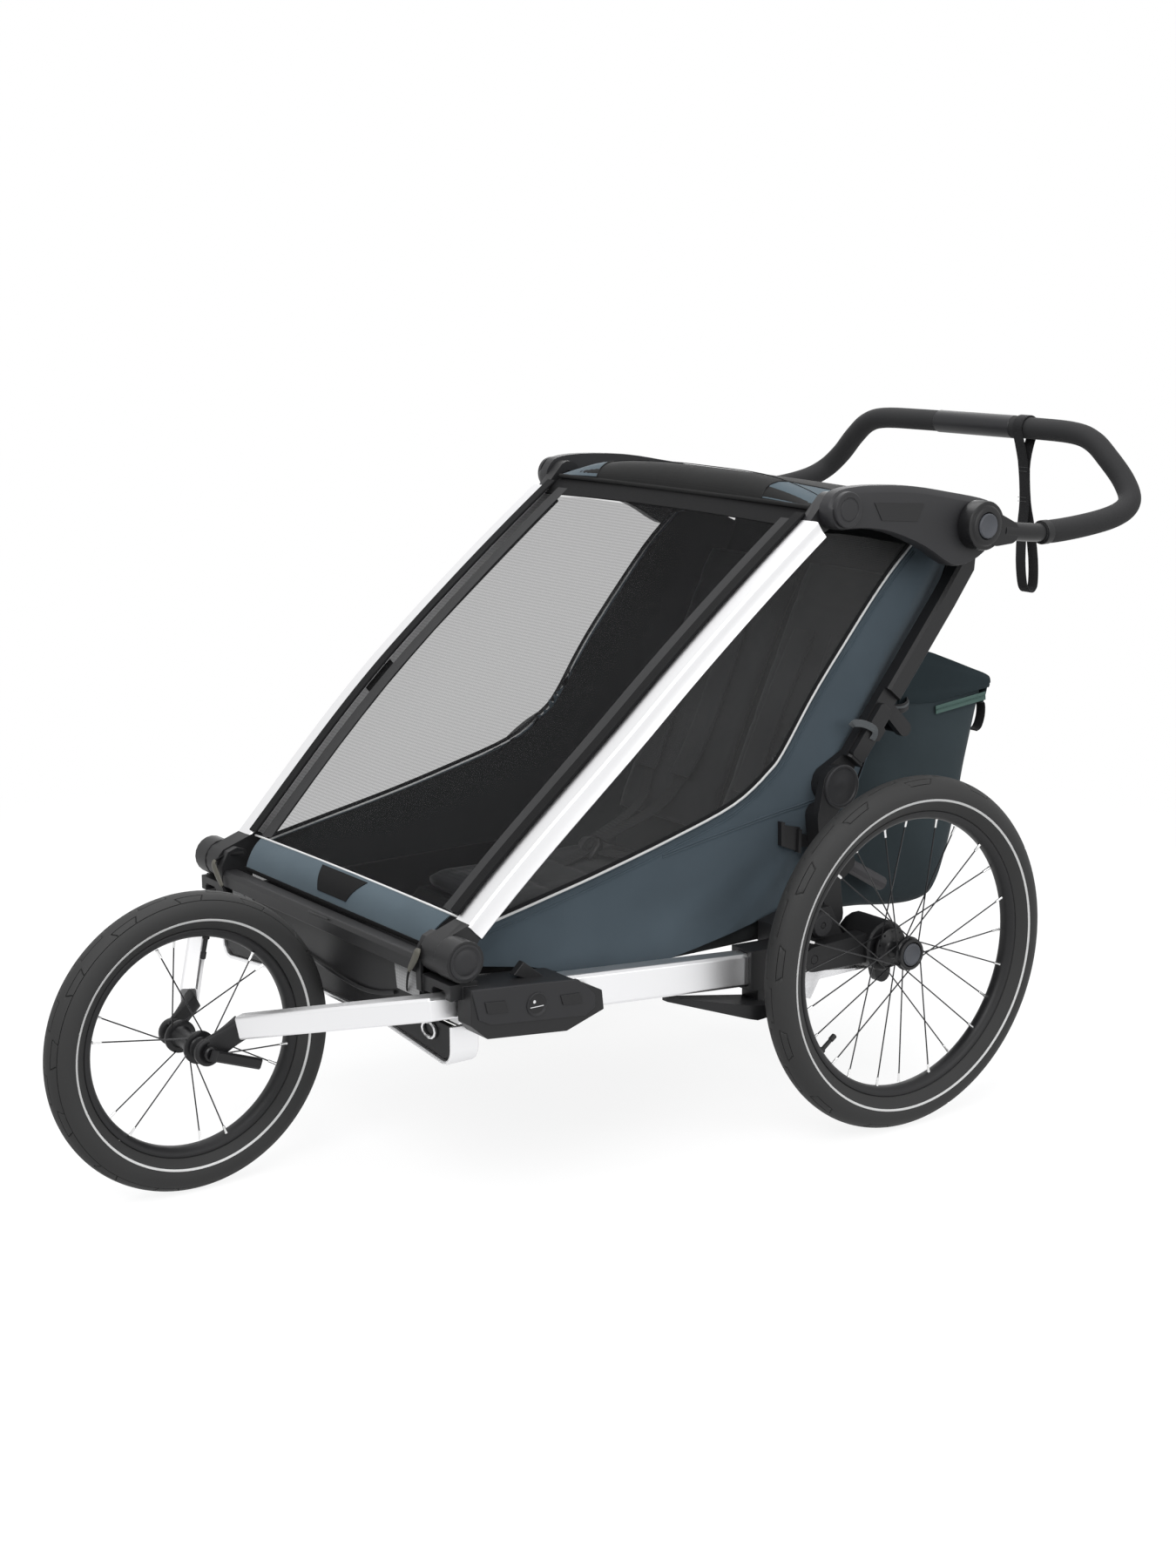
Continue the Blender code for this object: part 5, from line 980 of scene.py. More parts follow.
COVER_FOOT = 0.064                       # where mesh meets slate, as a share of the pillars' length
COVER_LIFT, COVER_CROWN = 0.006, 0.006
HEM_Y, HEM_Z, HEM_HALF, LOWER_HALF = -0.6955, 0.3478, 0.2359, 0.2471
LOWER_BULGE, LOWER_OUT = 0.0075, (-0.72, 0.55)


def cover_point(s, t, rise=0.0):
    """The front cover's outer face, at s along the pillars and t across, from -1 to 1."""
    centre, normal = pillar_point(s), pillar_normal(s)
    half = pillar_in_x(s) - 0.001 - 0.020 * (1 - smooth(s / 0.08))
    lift = COVER_LIFT + COVER_CROWN * (1 - t * t) + rise
    return Vector((half * t, centre.x + normal.x * lift, centre.y + normal.y * lift))


def lower_point(u, t, rise=0.0):
    """The cover's lower panel, from the piping, u 0, down to the beam's top, u 1."""
    top = cover_point(COVER_FOOT, t)
    half = mix(LOWER_HALF, HEM_HALF, u)
    bulge = LOWER_BULGE * math.sin(math.pi * u) * (1 - 0.35 * t * t)
    y = mix(top.y, HEM_Y, u) + (bulge + rise) * LOWER_OUT[0]
    z = mix(top.z, HEM_Z, u) + (bulge + rise) * LOWER_OUT[1]
    return Vector((half * t, y, z))


def thicken(bm, thickness):
    """Closes an open sheet into a skin of this thickness, inwards."""
    bm.normal_update()
    faces = bm.faces[:]
    rim_edges = [edge for edge in bm.edges if len(edge.link_faces) == 1]
    twins = {vertex: bm.verts.new(vertex.co - vertex.normal * thickness) for vertex in bm.verts[:]}
    for face in faces:
        bm.faces.new([twins[vertex] for vertex in reversed(face.verts)])
    for edge in rim_edges:
        a, b = edge.verts
        bm.faces.new((b, a, twins[a], twins[b]))
    return bm


def sheet_of(rows, thickness):
    """Cloth of this thickness over rows of points."""
    return thicken(grid(rows)[0], thickness)


def ribbon(points, normals, width, thickness, bm=None):
    """Flat trim along a path: the normals, or one for all, point out of what it lies on."""
    if isinstance(normals, Vector):
        normals = [normals] * len(points)
    rows = []
    for point, along, out in zip(points, headings(points), normals):
        out = out.normalized()
        side = along.cross(out).normalized()
        rows.append([point + side * u + out * v for u, v in strap_section(width, thickness)])
    return capped(rows, bm)


def front_cover():
    """Mesh between the pillars, trimmed in black, over a slate panel with white piping."""
    rows = []
    for s in between(COVER_FOOT, 0.966, 60):
        rows.append([cover_point(s, t, 0.0012 * noise.noise(Vector((t * 3.1, s * 5.0, 0.4))) * (1 - t ** 4))
                     for t in across(40)])
    bm = grid(rows)[0]
    bmesh.ops.reverse_faces(bm, faces=bm.faces)
    cover = build("cover_mesh", bm, MESH, "pillars", "black_mesh", recalc=False)
    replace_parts(cover, "front_cover")

    def trim(name, bm, finish, slot="black_mesh"):
        build(name, bm, finish, "pillars", slot)

    rows = [[lower_point(u, t, 0.0009 * noise.noise(Vector((j * 0.21, u * 2.0, 3.0))))
             for j, t in enumerate(across(48))] for u in steps(12)]
    trim("cover_lower", sheet_of(rows, 0.0018), SLATE_FRONT_PAINTED_LIGHT, "slate_fabric")
    for side, sign in SIDES:
        points, normals = [], []
        for s in between(0.066, 0.958, 39):
            centre = pillar_point(s) + pillar_normal(s) * 0.0165
            points.append(Vector((sign * (pillar_in_x(s) - 0.0060), centre.x, centre.y)))
            normals.append(Vector((0, *pillar_normal(s))))
        trim(f"cover_trim_{side}", ribbon(points, normals, 0.0190, 0.0036), BLACK_FRONT_PAINTED_SHADE)
    for side, sign in SIDES:
        shares = between(0.068, 0.952, 39)
        points = [cover_point(s, sign * 0.885, 0.0012) for s in shares]
        normals = [Vector((0, *pillar_normal(s))) for s in shares]
        trim(f"cover_border_{side}", ribbon(points, normals, 0.024, 0.0012), BORDER)
    rows = [[cover_point(s, t, 0.0010) for t in across(40)] for s in between(0.936, 0.988, 8)]
    trim("cover_top_band", sheet_of(rows, 0.0022), BLACK_FRONT_PAINTED_SHADE)
    path = [cover_point(COVER_FOOT, t, 0.0012) for t in across(60)]
    trim("cover_piping", sweep(path, ring_section(0.0015)), STRIPE, "slate_fabric")
    path = [lower_point(1.0, t, 0.0010) for t in across(60)]
    bm = sweep(path, oval(0.0016, 0.0052), up=Vector((0, -0.55, 0.83)))
    trim("cover_hem", bm, BLACK_FRONT_PAINTED_SHADE, "slate_fabric")
    rows = []
    for share in steps(6):
        half = mix(0.0575, 0.0375, share) / 0.241
        rows.append([lower_point(0.10 + 0.68 * share, half * t, 0.0016) for t in across(14)])
    trim("cover_tab", sheet_of(rows, 0.0014), BLACK_FRONT_PAINTED_SHADE, "slate_fabric")


def elastic(side, put):
    """Elastic strap from the cover's lower corner over the beam to its hook, with its olive buckle."""
    path = smooth_path([(0.2440, -0.6960, 0.3700), (0.2620, -0.7150, 0.3660), (0.2700, -0.7280, 0.3560),
                        (0.2640, -0.7290, 0.3440), (0.2440, -0.7270, 0.3200), (0.2287, -0.7200, 0.3000),
                        (0.2200, -0.7150, 0.2900)], 5)
    out = Vector((0.25, -1, 0.45))
    put("cover_elastic", ribbon(path, out, 0.0046, 0.0020), BLACK_FRONT_PAINTED_SHADE)
    middle = path[9:20]
    out.normalize()
    rows = []
    for point, along, share in zip(middle, headings(middle), steps(len(middle) - 1)):
        wide = mix(0.0030, 0.0062, math.sin(math.pi * share) ** 0.6)
        aside = along.cross(out).normalized()
        rows.append([point + aside * wide * c + out * (0.0024 * d + 0.0012) for c, d in ring_section(1.0)])
    put("cover_buckle", capped(rows), OLIVE, "chassis", "grey_plastic")


ROOF_TOP_Z, ROOF_FALL, ROOF_FALL_Y = 0.900, 0.17, -0.080
EDGE_DROP, EDGE_DROP_LESS, EDGE_SQUARE = 0.032, 0.027, 3.5
ROOF_HALF = 0.287


def roof_z(x, y, half):
    """Height of the roof: it falls to the rear and drops at both its edges."""
    centre = ROOF_TOP_Z - ROOF_FALL * max(0.0, y - ROOF_FALL_Y)
    drop = EDGE_DROP - EDGE_DROP_LESS * smooth((y + 0.106) / 0.25)
    return centre - drop * abs(x / half) ** EDGE_SQUARE


def roof_half(y):
    """Half width of the roof, which widens behind the pillars' heads."""
    return mix(ROOF_HALF, LINK_IN_X - 0.001, smooth((y + 0.075) / 0.03))


def roof_point(y, t, rise=0.0):
    """A point on the roof behind its crest, with slack ripples."""
    half = roof_half(y)
    x = half * t
    soft = 0.0016 * noise.noise(Vector((x * 7, y * 9, 1.5))) * (1 - t ** 6)
    return Vector((x, y, roof_z(x, y, half) + soft + rise))


ROOF_CREST_Y, ROOF_LIP = -0.082, (-0.1145, 0.8660)


def roof_lip(share, t, rise=0.0):
    """The roof's front roll, from its lower edge, share 0, up to the crest, share 1."""
    crest = roof_point(ROOF_CREST_Y, t)
    lip = Vector((crest.x, ROOF_LIP[0] - 0.0035 * (1 - t * t), min(ROOF_LIP[1], crest.z - 0.002)))
    turn = share * math.pi / 2
    y = mix(crest.y, lip.y, math.cos(turn))
    z = mix(lip.z, crest.z, math.sin(turn) ** 0.9)
    return Vector((crest.x, y - rise * math.cos(turn), z + rise * math.sin(turn)))


def roof_skin(y, t, rise):
    """A point on the roof at any y, the roll included."""
    if y >= ROOF_CREST_Y:
        return roof_point(y, t, rise)
    share = (y - ROOF_LIP[0]) / (ROOF_CREST_Y - ROOF_LIP[0])
    return roof_lip(math.acos(min(1.0, max(0.0, 1 - share))) * 2 / math.pi, t, rise)


ROOF_CORNER_Y = (-0.1140, 0.1700)


def corner_seam(share):
    """How far out the slate corner begins, as a share of the roof's half width."""
    return mix(0.66, 0.93, smooth(share / 0.55))


def roof():
    """Dark roof cloth with slate corners in front, a bound front edge and seams."""
    rows = [[roof_lip(i / 8, t) for t in across(56)] for i in range(8)]
    rows += [[roof_point(y, t) for t in across(56)] for y in between(ROOF_CREST_Y, 0.1725, 30)]
    top = build("roof_cloth", sheet_of(rows, 0.0020), BLACK_TOP_PAINTED_LIGHT, "top_link", "roof_fabric")
    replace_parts(top, "roof_panel")

    def trim(name, bm, finish=BLACK_TOP_PAINTED_LIGHT, slot="roof_fabric"):
        build(name, bm, finish, "top_link", slot)

    for side, sign in SIDES:
        rows = [[roof_skin(mix(*ROOF_CORNER_Y, share), sign * mix(corner_seam(share), 0.992, k), 0.0007)
                 for k in steps(8)] for share in steps(24)]
        trim(f"roof_corner_{side}", sheet_of(rows, 0.0010), SLATE_TOP_PAINTED_SHADE, "slate_fabric")
        seam = [roof_skin(mix(*ROOF_CORNER_Y, share), sign * corner_seam(share), 0.0009)
                for share in steps(40)]
        trim(f"roof_seam_{side}", sweep(seam, ring_section(0.0011, 8)))
    edge = [roof_lip(0.02, t, 0.0002) for t in across(60)]
    trim("roof_binding", sweep(edge, oval(0.0022, 0.0030)))
    for name, y in (("front", -0.0780), ("rear", 0.1600)):
        seam = [roof_point(y, 0.98 * t, 0.0010) for t in across(60)]
        trim(f"roof_stitch_{name}", sweep(seam, ring_section(0.0007, 6)), BLACK_FRONT_PAINTED_SHADE)


PIPING = [(-0.641, 0.3728), (-0.622, 0.3767), (-0.540, 0.3935), (-0.444, 0.4136), (-0.330, 0.4410),
          (-0.225, 0.4708), (-0.1635, 0.5065), (-0.136, 0.5323), (-0.092, 0.5954),
          (-0.050, 0.6484), (0.036, 0.7470), (0.093, 0.7993)]


UPRIGHT_SLOPE, REAR_EDGE_X = 0.672, 0.2410
RAIL_START, RAIL_RISE = (-0.696, 0.2885), -0.0796


def side_x(y, z):
    """Outer face of the side cloth: it runs in from the pillar to behind the upright."""
    share = (z - FRONT_PIVOT[1]) / (TOP_PIVOT[1] - FRONT_PIVOT[1])
    front_y = pillar_point(min(1.0, max(0.0, share))).x
    back_y = FOLD_PIVOT[0] + (z - FOLD_PIVOT[1]) * UPRIGHT_SLOPE
    front_x = pillar_in_x(max(0.0, share)) + 0.008
    back_x = UPRIGHT_IN_X - 0.002
    t = (y - front_y) / (back_y - front_y)
    if t <= 1:
        return front_x + (back_x - front_x) * smooth(max(0.0, t)) ** 0.8
    reach = max(0.030, rear_out(z) - back_y)
    return mix(back_x, REAR_EDGE_X, min(1.2, (y - back_y) / reach))


def cut_sheet(outline, pitch):
    """A flat outline in the side view, cut into a fine grid with its edges kept."""
    bm = bmesh.new()
    face = bm.faces.new([bm.verts.new((0, y, z)) for y, z in outline])
    bmesh.ops.triangulate(bm, faces=[face])
    for axis in (1, 2):
        low = min(p[axis - 1] for p in outline)
        high = max(p[axis - 1] for p in outline)
        normal = Vector((0, 1, 0)) if axis == 1 else Vector((0, 0, 1))
        count = int((high - low) / pitch)
        for i in range(1, count + 1):
            spot = normal * (low + (high - low) * i / (count + 1))
            geom = bm.verts[:] + bm.edges[:] + bm.faces[:]
            bmesh.ops.bisect_plane(bm, geom=geom, plane_co=spot, plane_no=normal, dist=0.000002)
    slanted = []
    for edge in bm.edges:
        run = edge.verts[1].co - edge.verts[0].co
        if len(edge.link_faces) == 2 and abs(run.y) > 0.00001 and abs(run.z) > 0.00001:
            slanted.append(edge)
    bmesh.ops.dissolve_edges(bm, edges=slanted, use_verts=False)
    return bm


def drape(bm, x_of):
    """Moves a flat sheet out to its surface, with its normals outwards."""
    for vertex in bm.verts:
        vertex.co.x = x_of(vertex.co.y, vertex.co.z)
    bmesh.ops.recalc_face_normals(bm, faces=bm.faces)
    if sum(face.normal.x for face in bm.faces) < 0:
        bmesh.ops.reverse_faces(bm, faces=bm.faces)
    return bm


PANEL_FOLDS = ((-0.10, 0.9, 0.020, 0.0026), (-0.16, 0.55, 0.024, 0.0022), (-0.30, 0.2, 0.030, 0.0016),
               (-0.02, 1.3, 0.018, 0.0020))
FILM_CREASES = ((-0.36, 0.42), (-0.20, -0.25))
PUCKERS, PUCKER_DEPTH, PUCKER_WIDTH = 7, 0.0011, 0.0035


def panel_x(y, z):
    """Slate side panel: slack folds that fan out from the rear, and a swell above the rail."""
    fold = 0.0
    low = smooth((0.46 - z) / 0.12)
    for at, lean, width, depth in PANEL_FOLDS:
        run = (y - at) * lean - (z - 0.40)
        fold += depth * math.exp(-(run / width) ** 2)
    pucker = 0.0
    for k in range(PUCKERS):
        turn = math.radians(72 - 9 * k)
        run = (y + 0.105 + 0.016 * k) * math.sin(turn) + (z - 0.452) * math.cos(turn)
        pucker += PUCKER_DEPTH * math.exp(-(run / PUCKER_WIDTH) ** 2)
    pucker *= smooth((z - 0.444) / 0.012) * smooth((0.520 - z) / 0.030) * smooth((y + 0.230) / 0.03)
    fold += pucker / max(low, 0.2)
    soft = 0.0022 * noise.noise(Vector((y * 8, z * 11, 5.1)))
    soft += 0.0009 * noise.noise(Vector((y * 26, z * 30, 2.2)))
    return side_x(y, z) + (fold - 0.0016) * max(low, 0.2) + soft * 0.8


def window_x(y, z):
    """Clear film: faint lines where it was folded, and slow ripples."""
    crease = 0.0
    for at, lean in FILM_CREASES:
        run = (y - at) - lean * (z - 0.6)
        crease += 0.0011 * math.exp(-(run / 0.004) ** 2)
    ripple = 0.0016 * noise.noise(Vector((y * 6, z * 6, 9.0)))
    return side_x(y, z) + crease + ripple


def rail_z(y):
    """Height of the lower rail's middle line."""
    return RAIL_START[1] + RAIL_RISE * (y - RAIL_START[0])


def under_pillar():
    """The line behind the pillar, from its head to its foot, that the cloth is sewn along."""
    line = []
    for i in range(13):
        s = 0.955 - (0.955 - 0.080) * i / 12
        spot = pillar_point(s) - pillar_normal(s) * (PILLAR_DEPTH / 2 + 0.002)
        line.append((spot.x, spot.y))
    return line


def side_cloth(side, put):
    """Film window in front and slate panel behind, parted by white piping."""
    under = under_pillar()
    fine = smooth_line(PIPING, 4)
    top = [(0.045, 0.808), (-0.010, 0.819), (-0.070, 0.829)]
    window_outline = [(y, z + 0.0004) for y, z in fine] + top + under
    bm = drape(cut_sheet(window_outline, 0.012), window_x)
    window = put("window", bm, FILM, "chassis", "window_film", recalc=False)
    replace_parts(window, f"side_window_{side}")

    low = [(-0.653, 0.350), (-0.645, 0.322), (-0.560, 0.305)]
    low += [(y, rail_z(y) + 0.012) for y in (-0.500, -0.400, -0.330)]
    foot = [(-0.280, 0.278), (-0.200, 0.292), (-0.100, 0.310), (-0.055, 0.318)]
    rear = [(rear_out(z) - 0.0015, z) for z in [0.325 + 0.455 * i / 20 for i in range(21)]]
    upper = [(0.150, 0.806), (0.110, 0.803)] + [(y, z - 0.0004) for y, z in reversed(fine)]
    bm = thicken(drape(cut_sheet(low + foot + rear + upper, 0.009), panel_x), 0.0016)
    panel = put("panel", bm, SLATE_SIDE, "chassis", "slate_fabric")
    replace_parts(panel, f"side_panel_{side}")

    skirt = [(-0.280, 0.270), (-0.200, 0.272), (-0.100, 0.275), (rear[0][0] - 0.006, 0.280)]
    flat = cut_sheet(low + skirt + rear + upper, 0.020)
    lining = thicken(drape(flat, lambda y, z: side_x(y, z) - 0.0052), 0.0008)
    trims = [put("panel_lining", lining, LINING, "chassis", "black_mesh")]
    trims += side_trims(put, fine, under, rear) + [panel_tab(put)]
    crumple([window, panel] + trims, *SIDE_SINKS)


def side_trims(put, fine, under, rear):
    """Piping, bindings and seams along the side cloth's edges and cuts."""
    trims = []

    def trim(name, points, section, finish, x_of=panel_x, rise=0.0010):
        line = [Vector((x_of(y, z) + rise, y, z)) for y, z in points]
        bm = sweep(line, section, up=Vector((1, 0, 0)))
        trims.append(put(name, bm, finish, "chassis", "slate_fabric"))

    trim("piping", fine, ring_section(0.0019), STRIPE, side_x_mean, 0.0016)
    trim("piping_edge", offset_line(fine, 0.0045), strap_section(0.0055, 0.0016), BLACK_SIDE, side_x_mean)
    for k, (gap, width) in enumerate(((-0.0065, 0.0010), (-0.0120, 0.0007), (-0.0155, 0.0007))):
        trim(f"seam_{k}", offset_line(fine, gap), ring_section(width, 6), SLATE_SIDE, rise=0.0004)
    binding = offset_line(list(reversed(under)), -0.003)
    trim("window_binding", binding, strap_section(0.012, 0.0018), BLACK_SIDE, window_x, 0.0006)
    trim("rear_piping", offset_line(rear, 0.0015), ring_section(0.0015, 10), BLACK_SIDE)
    seam = [(-0.345, 0.4195), (-0.250, 0.4335), (-0.191, 0.4416), (-0.137, 0.4489), (-0.060, 0.4590)]
    for k, gap in enumerate((0.0, -0.0035)):
        line = offset_line(smooth_line(seam, 5), gap)
        trim(f"cut_seam_{k}", line, ring_section(0.0008, 6), SLATE_SIDE, rise=0.0004)
    return trims


def panel_tab(put):
    """Small slider and its strap's keeper, low on the side panel."""
    tab = bmesh.new()
    x = panel_x(-0.117, 0.41)
    for near, far, outline in (
            (0.0006, 0.0080, [(-0.1390, 0.4350), (-0.1320, 0.4335), (-0.1315, 0.3990), (-0.1380, 0.4010)]),
            (0.0006, 0.0040, [(-0.1325, 0.4290), (-0.1010, 0.4215), (-0.1030, 0.3870), (-0.1325, 0.3990)]),
            (0.0006, 0.0080, [(-0.1060, 0.4200), (-0.1010, 0.4190), (-0.1020, 0.3850), (-0.1070, 0.3870)]),
            (0.0010, 0.0030, [(-0.1030, 0.4130), (-0.0700, 0.4040), (-0.0700, 0.3900), (-0.1040, 0.3930)])):
        prism(outline, x + near, x + far, tab)
    return put("panel_tab", tab, BLACK)


def side_x_mean(y, z):
    """Halfway between the film and the panel, where their seam runs."""
    return (panel_x(y, z) + window_x(y, z)) / 2


def offset_line(points, gap):
    """The line moved sideways in the side view, up and forwards for a positive gap."""
    ways = headings([Vector(p) for p in points])
    return [(y - along.y * gap, z + along.x * gap) for (y, z), along in zip(points, ways)]


def pillar_sleeve(side, put):
    """Silver extrusion between the pillar's black ends, with a shallow channel in its outer face."""
    end = PILLAR_SILVER_END / math.dist(FRONT_PIVOT, TOP_PIVOT)
    section = [(-0.0004, -0.0118), (-0.0004, 0.0118), (0.0012, 0.0134), (0.0318, 0.0138), (0.0352, 0.0122)]
    section += [(0.0356 - 0.0013 * math.sin(math.pi * k / 8), 0.0118 - 0.0236 * k / 8) for k in range(1, 8)]
    section += [(0.0356, -0.0118), (0.0346, -0.0134), (0.0012, -0.0134)]
    rows = []
    for share in steps(48):
        s = mix(end, 1 - end, share)
        centre, normal = pillar_point(s), pillar_normal(s)
        rows.append([Vector((pillar_in_x(s) + u, centre.x + normal.x * v, centre.y + normal.y * v))
                     for u, v in section])
    sleeve = put("pillar_sleeve", capped(rows), SILVER, "pillars", "satin_aluminium", angle=25)
    rounded(sleeve, 0.0006, 2, 50)


LINK_OUTLINE = [(-0.121, 0.872), (-0.108, 0.888), (-0.080, 0.894), (-0.030, 0.894), (0.035, 0.889),
                (0.099, 0.878), (0.160, 0.866), (0.186, 0.856), (0.191, 0.838), (0.190, 0.818),
                (0.165, 0.790), (0.130, 0.776), (0.100, 0.778), (0.050, 0.806), (-0.010, 0.829),
                (-0.060, 0.838), (-0.108, 0.840), (-0.121, 0.858)]
ROOF_BAR, ROOF_BAR_R = (0.179, 0.850), 0.0055


def link_ring(x, inset):
    """The side link's outline at x, drawn in along its top and slightly elsewhere."""
    path = smooth_path([(0, y, z) for y, z in LINK_OUTLINE + LINK_OUTLINE[:1]], 3)[:-1]
    ring = []
    for point, along in zip(path, headings(path, loop=True)):
        out = Vector((0, -along.z, along.y))
        depth = inset * (0.0020 + 0.0068 * smooth(out.z / 0.9))
        ring.append(Vector((x, point.y, point.z)) - out * depth)
    return ring


def side_links():
    """The two side links with a slanted upper band, their hub caps, and the roof's bar."""
    whole = bmesh.new()
    cap = [(0.0, 0.0242), (0.0065, 0.0240), (0.0078, 0.0226), (0.0078, 0.0168), (0.0068, 0.0158),
           (0.0068, 0.0150), (0.0078, 0.0140), (0.0082, 0.0080), (0.0083, 0.00002)]
    for sign in (1, -1):
        part = capped([link_ring(x, inset) for x, inset in ((LINK_IN_X, 0.0), (0.3285, 0.0), (0.3300, 0.16),
                                                            (0.3362, 0.92), (0.3368, 1.08))])
        lathe(cap, (0.3345, *TOP_PIVOT), 56, bm=part)
        lathe([(0, 0.0140), (0.028, 0.0140)], (UPRIGHT_OUT_X + 0.0004, *LINK_PIVOT), 32, bm=part)
        lathe([(0, 0.0100), (0.012, 0.0100)], (0.3325, *HANDLE_PIVOT), 32, bm=part)
        merge(whole, mirror(part, sign))
    reach = LINK_IN_X + 0.002
    sweep([(x, *ROOF_BAR) for x in (-reach, 0, reach)], ring_section(ROOF_BAR_R, 16), bm=whole)
    links = build("side_links", whole, DARK, "top_link", angle=28)
    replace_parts(links, "roof_frame")
    rounded(links, 0.0008, 2, 40)


def link_plate(side, put):
    """Raised trapezoid plate, left bare."""
    outline = [(-0.0456, 0.8723), (0.0463, 0.8660), (0.0339, 0.8422), (-0.0311, 0.8474)]
    rounded(put("link_plate", prism(outline, 0.3364, 0.3380), BLACK, "top_link"), 0.0005)


def casing(side, put):
    """Bevelled cover plate of the arm's socket, with two pads, a round opening drawn as a flat disc of
    painted shade, and a fin.
    """
    plate = [(-0.7024, 0.3195), (-0.6276, 0.3131), (-0.5418, 0.3048), (-0.5146, 0.2802), (-0.5146, 0.2632),
             (-0.5298, 0.2543), (-0.6738, 0.2698), (-0.6917, 0.2792)]
    rounded(put("casing_plate", prism(plate, 0.3440, 0.3497), DARK), 0.0014)
    pads = bmesh.new()
    for pad in ([(-0.6837, 0.3013), (-0.6524, 0.2976), (-0.6480, 0.2822), (-0.6798, 0.2858)],
                [(-0.5701, 0.2890), (-0.5396, 0.2869), (-0.5356, 0.2730), (-0.5658, 0.2754)]):
        prism(pad, 0.3494, 0.3512, pads)
    rounded(put("casing_pads", pads, BLACK), 0.0008)
    y, z = -0.6055, 0.2840
    bm = lathe([(0.0, 0.0156), (0.0014, 0.0153), (0.0018, 0.0142), (0.0004, 0.0126), (0.0, 0.0120)],
               (0.3495, y, z), 48)
    put("casing_ring", bm, DARK)
    # A flat glossy black disc inside the ring stands for the opening's depth: painted shade.
    bm = lathe([(0.0, 0.0120), (0.0003, 0.0118), (0.0003, 0.00002)], (0.3495, y, z), 40)
    put("casing_well", bm, GLOSS)
    bm = lathe([(0.0, 0.0022), (0.0008, 0.0021), (0.0012, 0.00002)], (0.3497, y - 0.004, z + 0.004), 16)
    block((0.3497, y - 0.010, z - 0.0035), (0.3502, y + 0.010, z - 0.0025), bm)
    put("casing_pin", bm, STEEL, "chassis", "steel")
    fin = [(-0.6013, 0.3300), (-0.5662, 0.3020), (-0.5800, 0.3000), (-0.6169, 0.3150)]
    rounded(put("casing_fin", prism(fin, 0.3050, 0.3160), BLACK), 0.0010)
    bm = lathe([(0.0, 0.0230), (0.0012, 0.0226), (0.0016, 0.0206), (0.0006, 0.0190), (0.0004, 0.0168),
                (0.0012, 0.0158), (0.0016, 0.0080), (0.0017, 0.00002)],
               (PILLAR_FOOT_X + 0.0660, *FRONT_PIVOT), 56)
    put("foot_hub", bm, DARK)


def fold_pivot(side, put):
    """Dished boss at the fold pivot, the latch's pull loop and the bag's strap."""
    bm = lathe([(0.0, 0.0310), (0.0020, 0.0306), (0.0030, 0.0290), (0.0026, 0.0266), (0.0008, 0.0250),
                (0.0004, 0.0120), (0.0010, 0.0104), (0.0011, 0.00002)],
               (UPRIGHT_OUT_X, FOLD_PIVOT[0] + 0.006, FOLD_PIVOT[1] - 0.003), 64)
    put("fold_boss", bm, DARK)
    path = smooth_path([(0.2885, -0.0330, 0.5600), (0.2915, -0.0285, 0.5640), (0.2935, -0.0123, 0.5612),
                        (0.2935, 0.0060, 0.5520), (0.2925, 0.0088, 0.5440), (0.2905, 0.0057, 0.5364)], 5)
    bm = ribbon(path, Vector((1, 0, 0.1)), 0.0105, 0.0016)
    put("latch_loop", bm, WEB_GREY, f"latch_{side}", "grey_plastic")
    path = smooth_path([(0.2700, 0.0380, 0.5760), (0.2660, 0.0805, 0.5680), (0.2420, 0.1180, 0.5655),
                        (0.2186, 0.1400, 0.5650)], 5)
    out = Vector((1, 0.4, 0.1))
    strap = put("bag_strap", ribbon(path, out, 0.0130, 0.0018), WEB)
    bm = ribbon([p + Vector((0.0012, 0.0004, 0.0022)) for p in path[1:-1]], out, 0.0036, 0.0010)
    crumple([strap, put("bag_strap_line", bm, WEB_GREY)], *BAG_SINKS)


def fascia():
    """Front face of the tub: light mesh vents, a crease, and a handhold slot under the beam drawn as a dark
    strip of painted shade.
    """
    face_y = -0.7128
    for side, sign in SIDES:
        rows = []
        for k in steps(4):
            inner, outer = mix(0.194, 0.188, k), mix(0.2440, 0.2470, math.sin(math.pi * (0.25 + k / 2)))
            rows.append([Vector((sign * mix(inner, outer, j), -0.7132, mix(0.2860, 0.3190, k)))
                         for j in steps(6)])
        build(f"vent_{side}", sheet_of(rows, 0.0008), VENT, "chassis", "black_mesh")
    crease = [(-0.2202, 0.3205), (-0.1400, 0.2930), (-0.0420, 0.2741), (0.0818, 0.2624), (0.1400, 0.2660),
              (0.1859, 0.2777)]
    bm = sweep(smooth_path([(x, face_y, z) for x, z in crease], 6), oval(0.0013, 0.0030, 10))
    build("fascia_crease", bm, BLACK, angle=60)
    # The handhold slot is a thin glossy black strip laid on the face: painted shade.
    build("beam_slot_painted_shade", block((-0.011, -0.7246, 0.3418), (0.041, -0.7236, 0.3436)), GLOSS)


TIP_EYE_R, TIP_IN_X, TIP_THICKNESS = 0.0182, 0.0463, 0.009
ARM_WIDTH, ARM_HEIGHT = 0.0234, 0.031


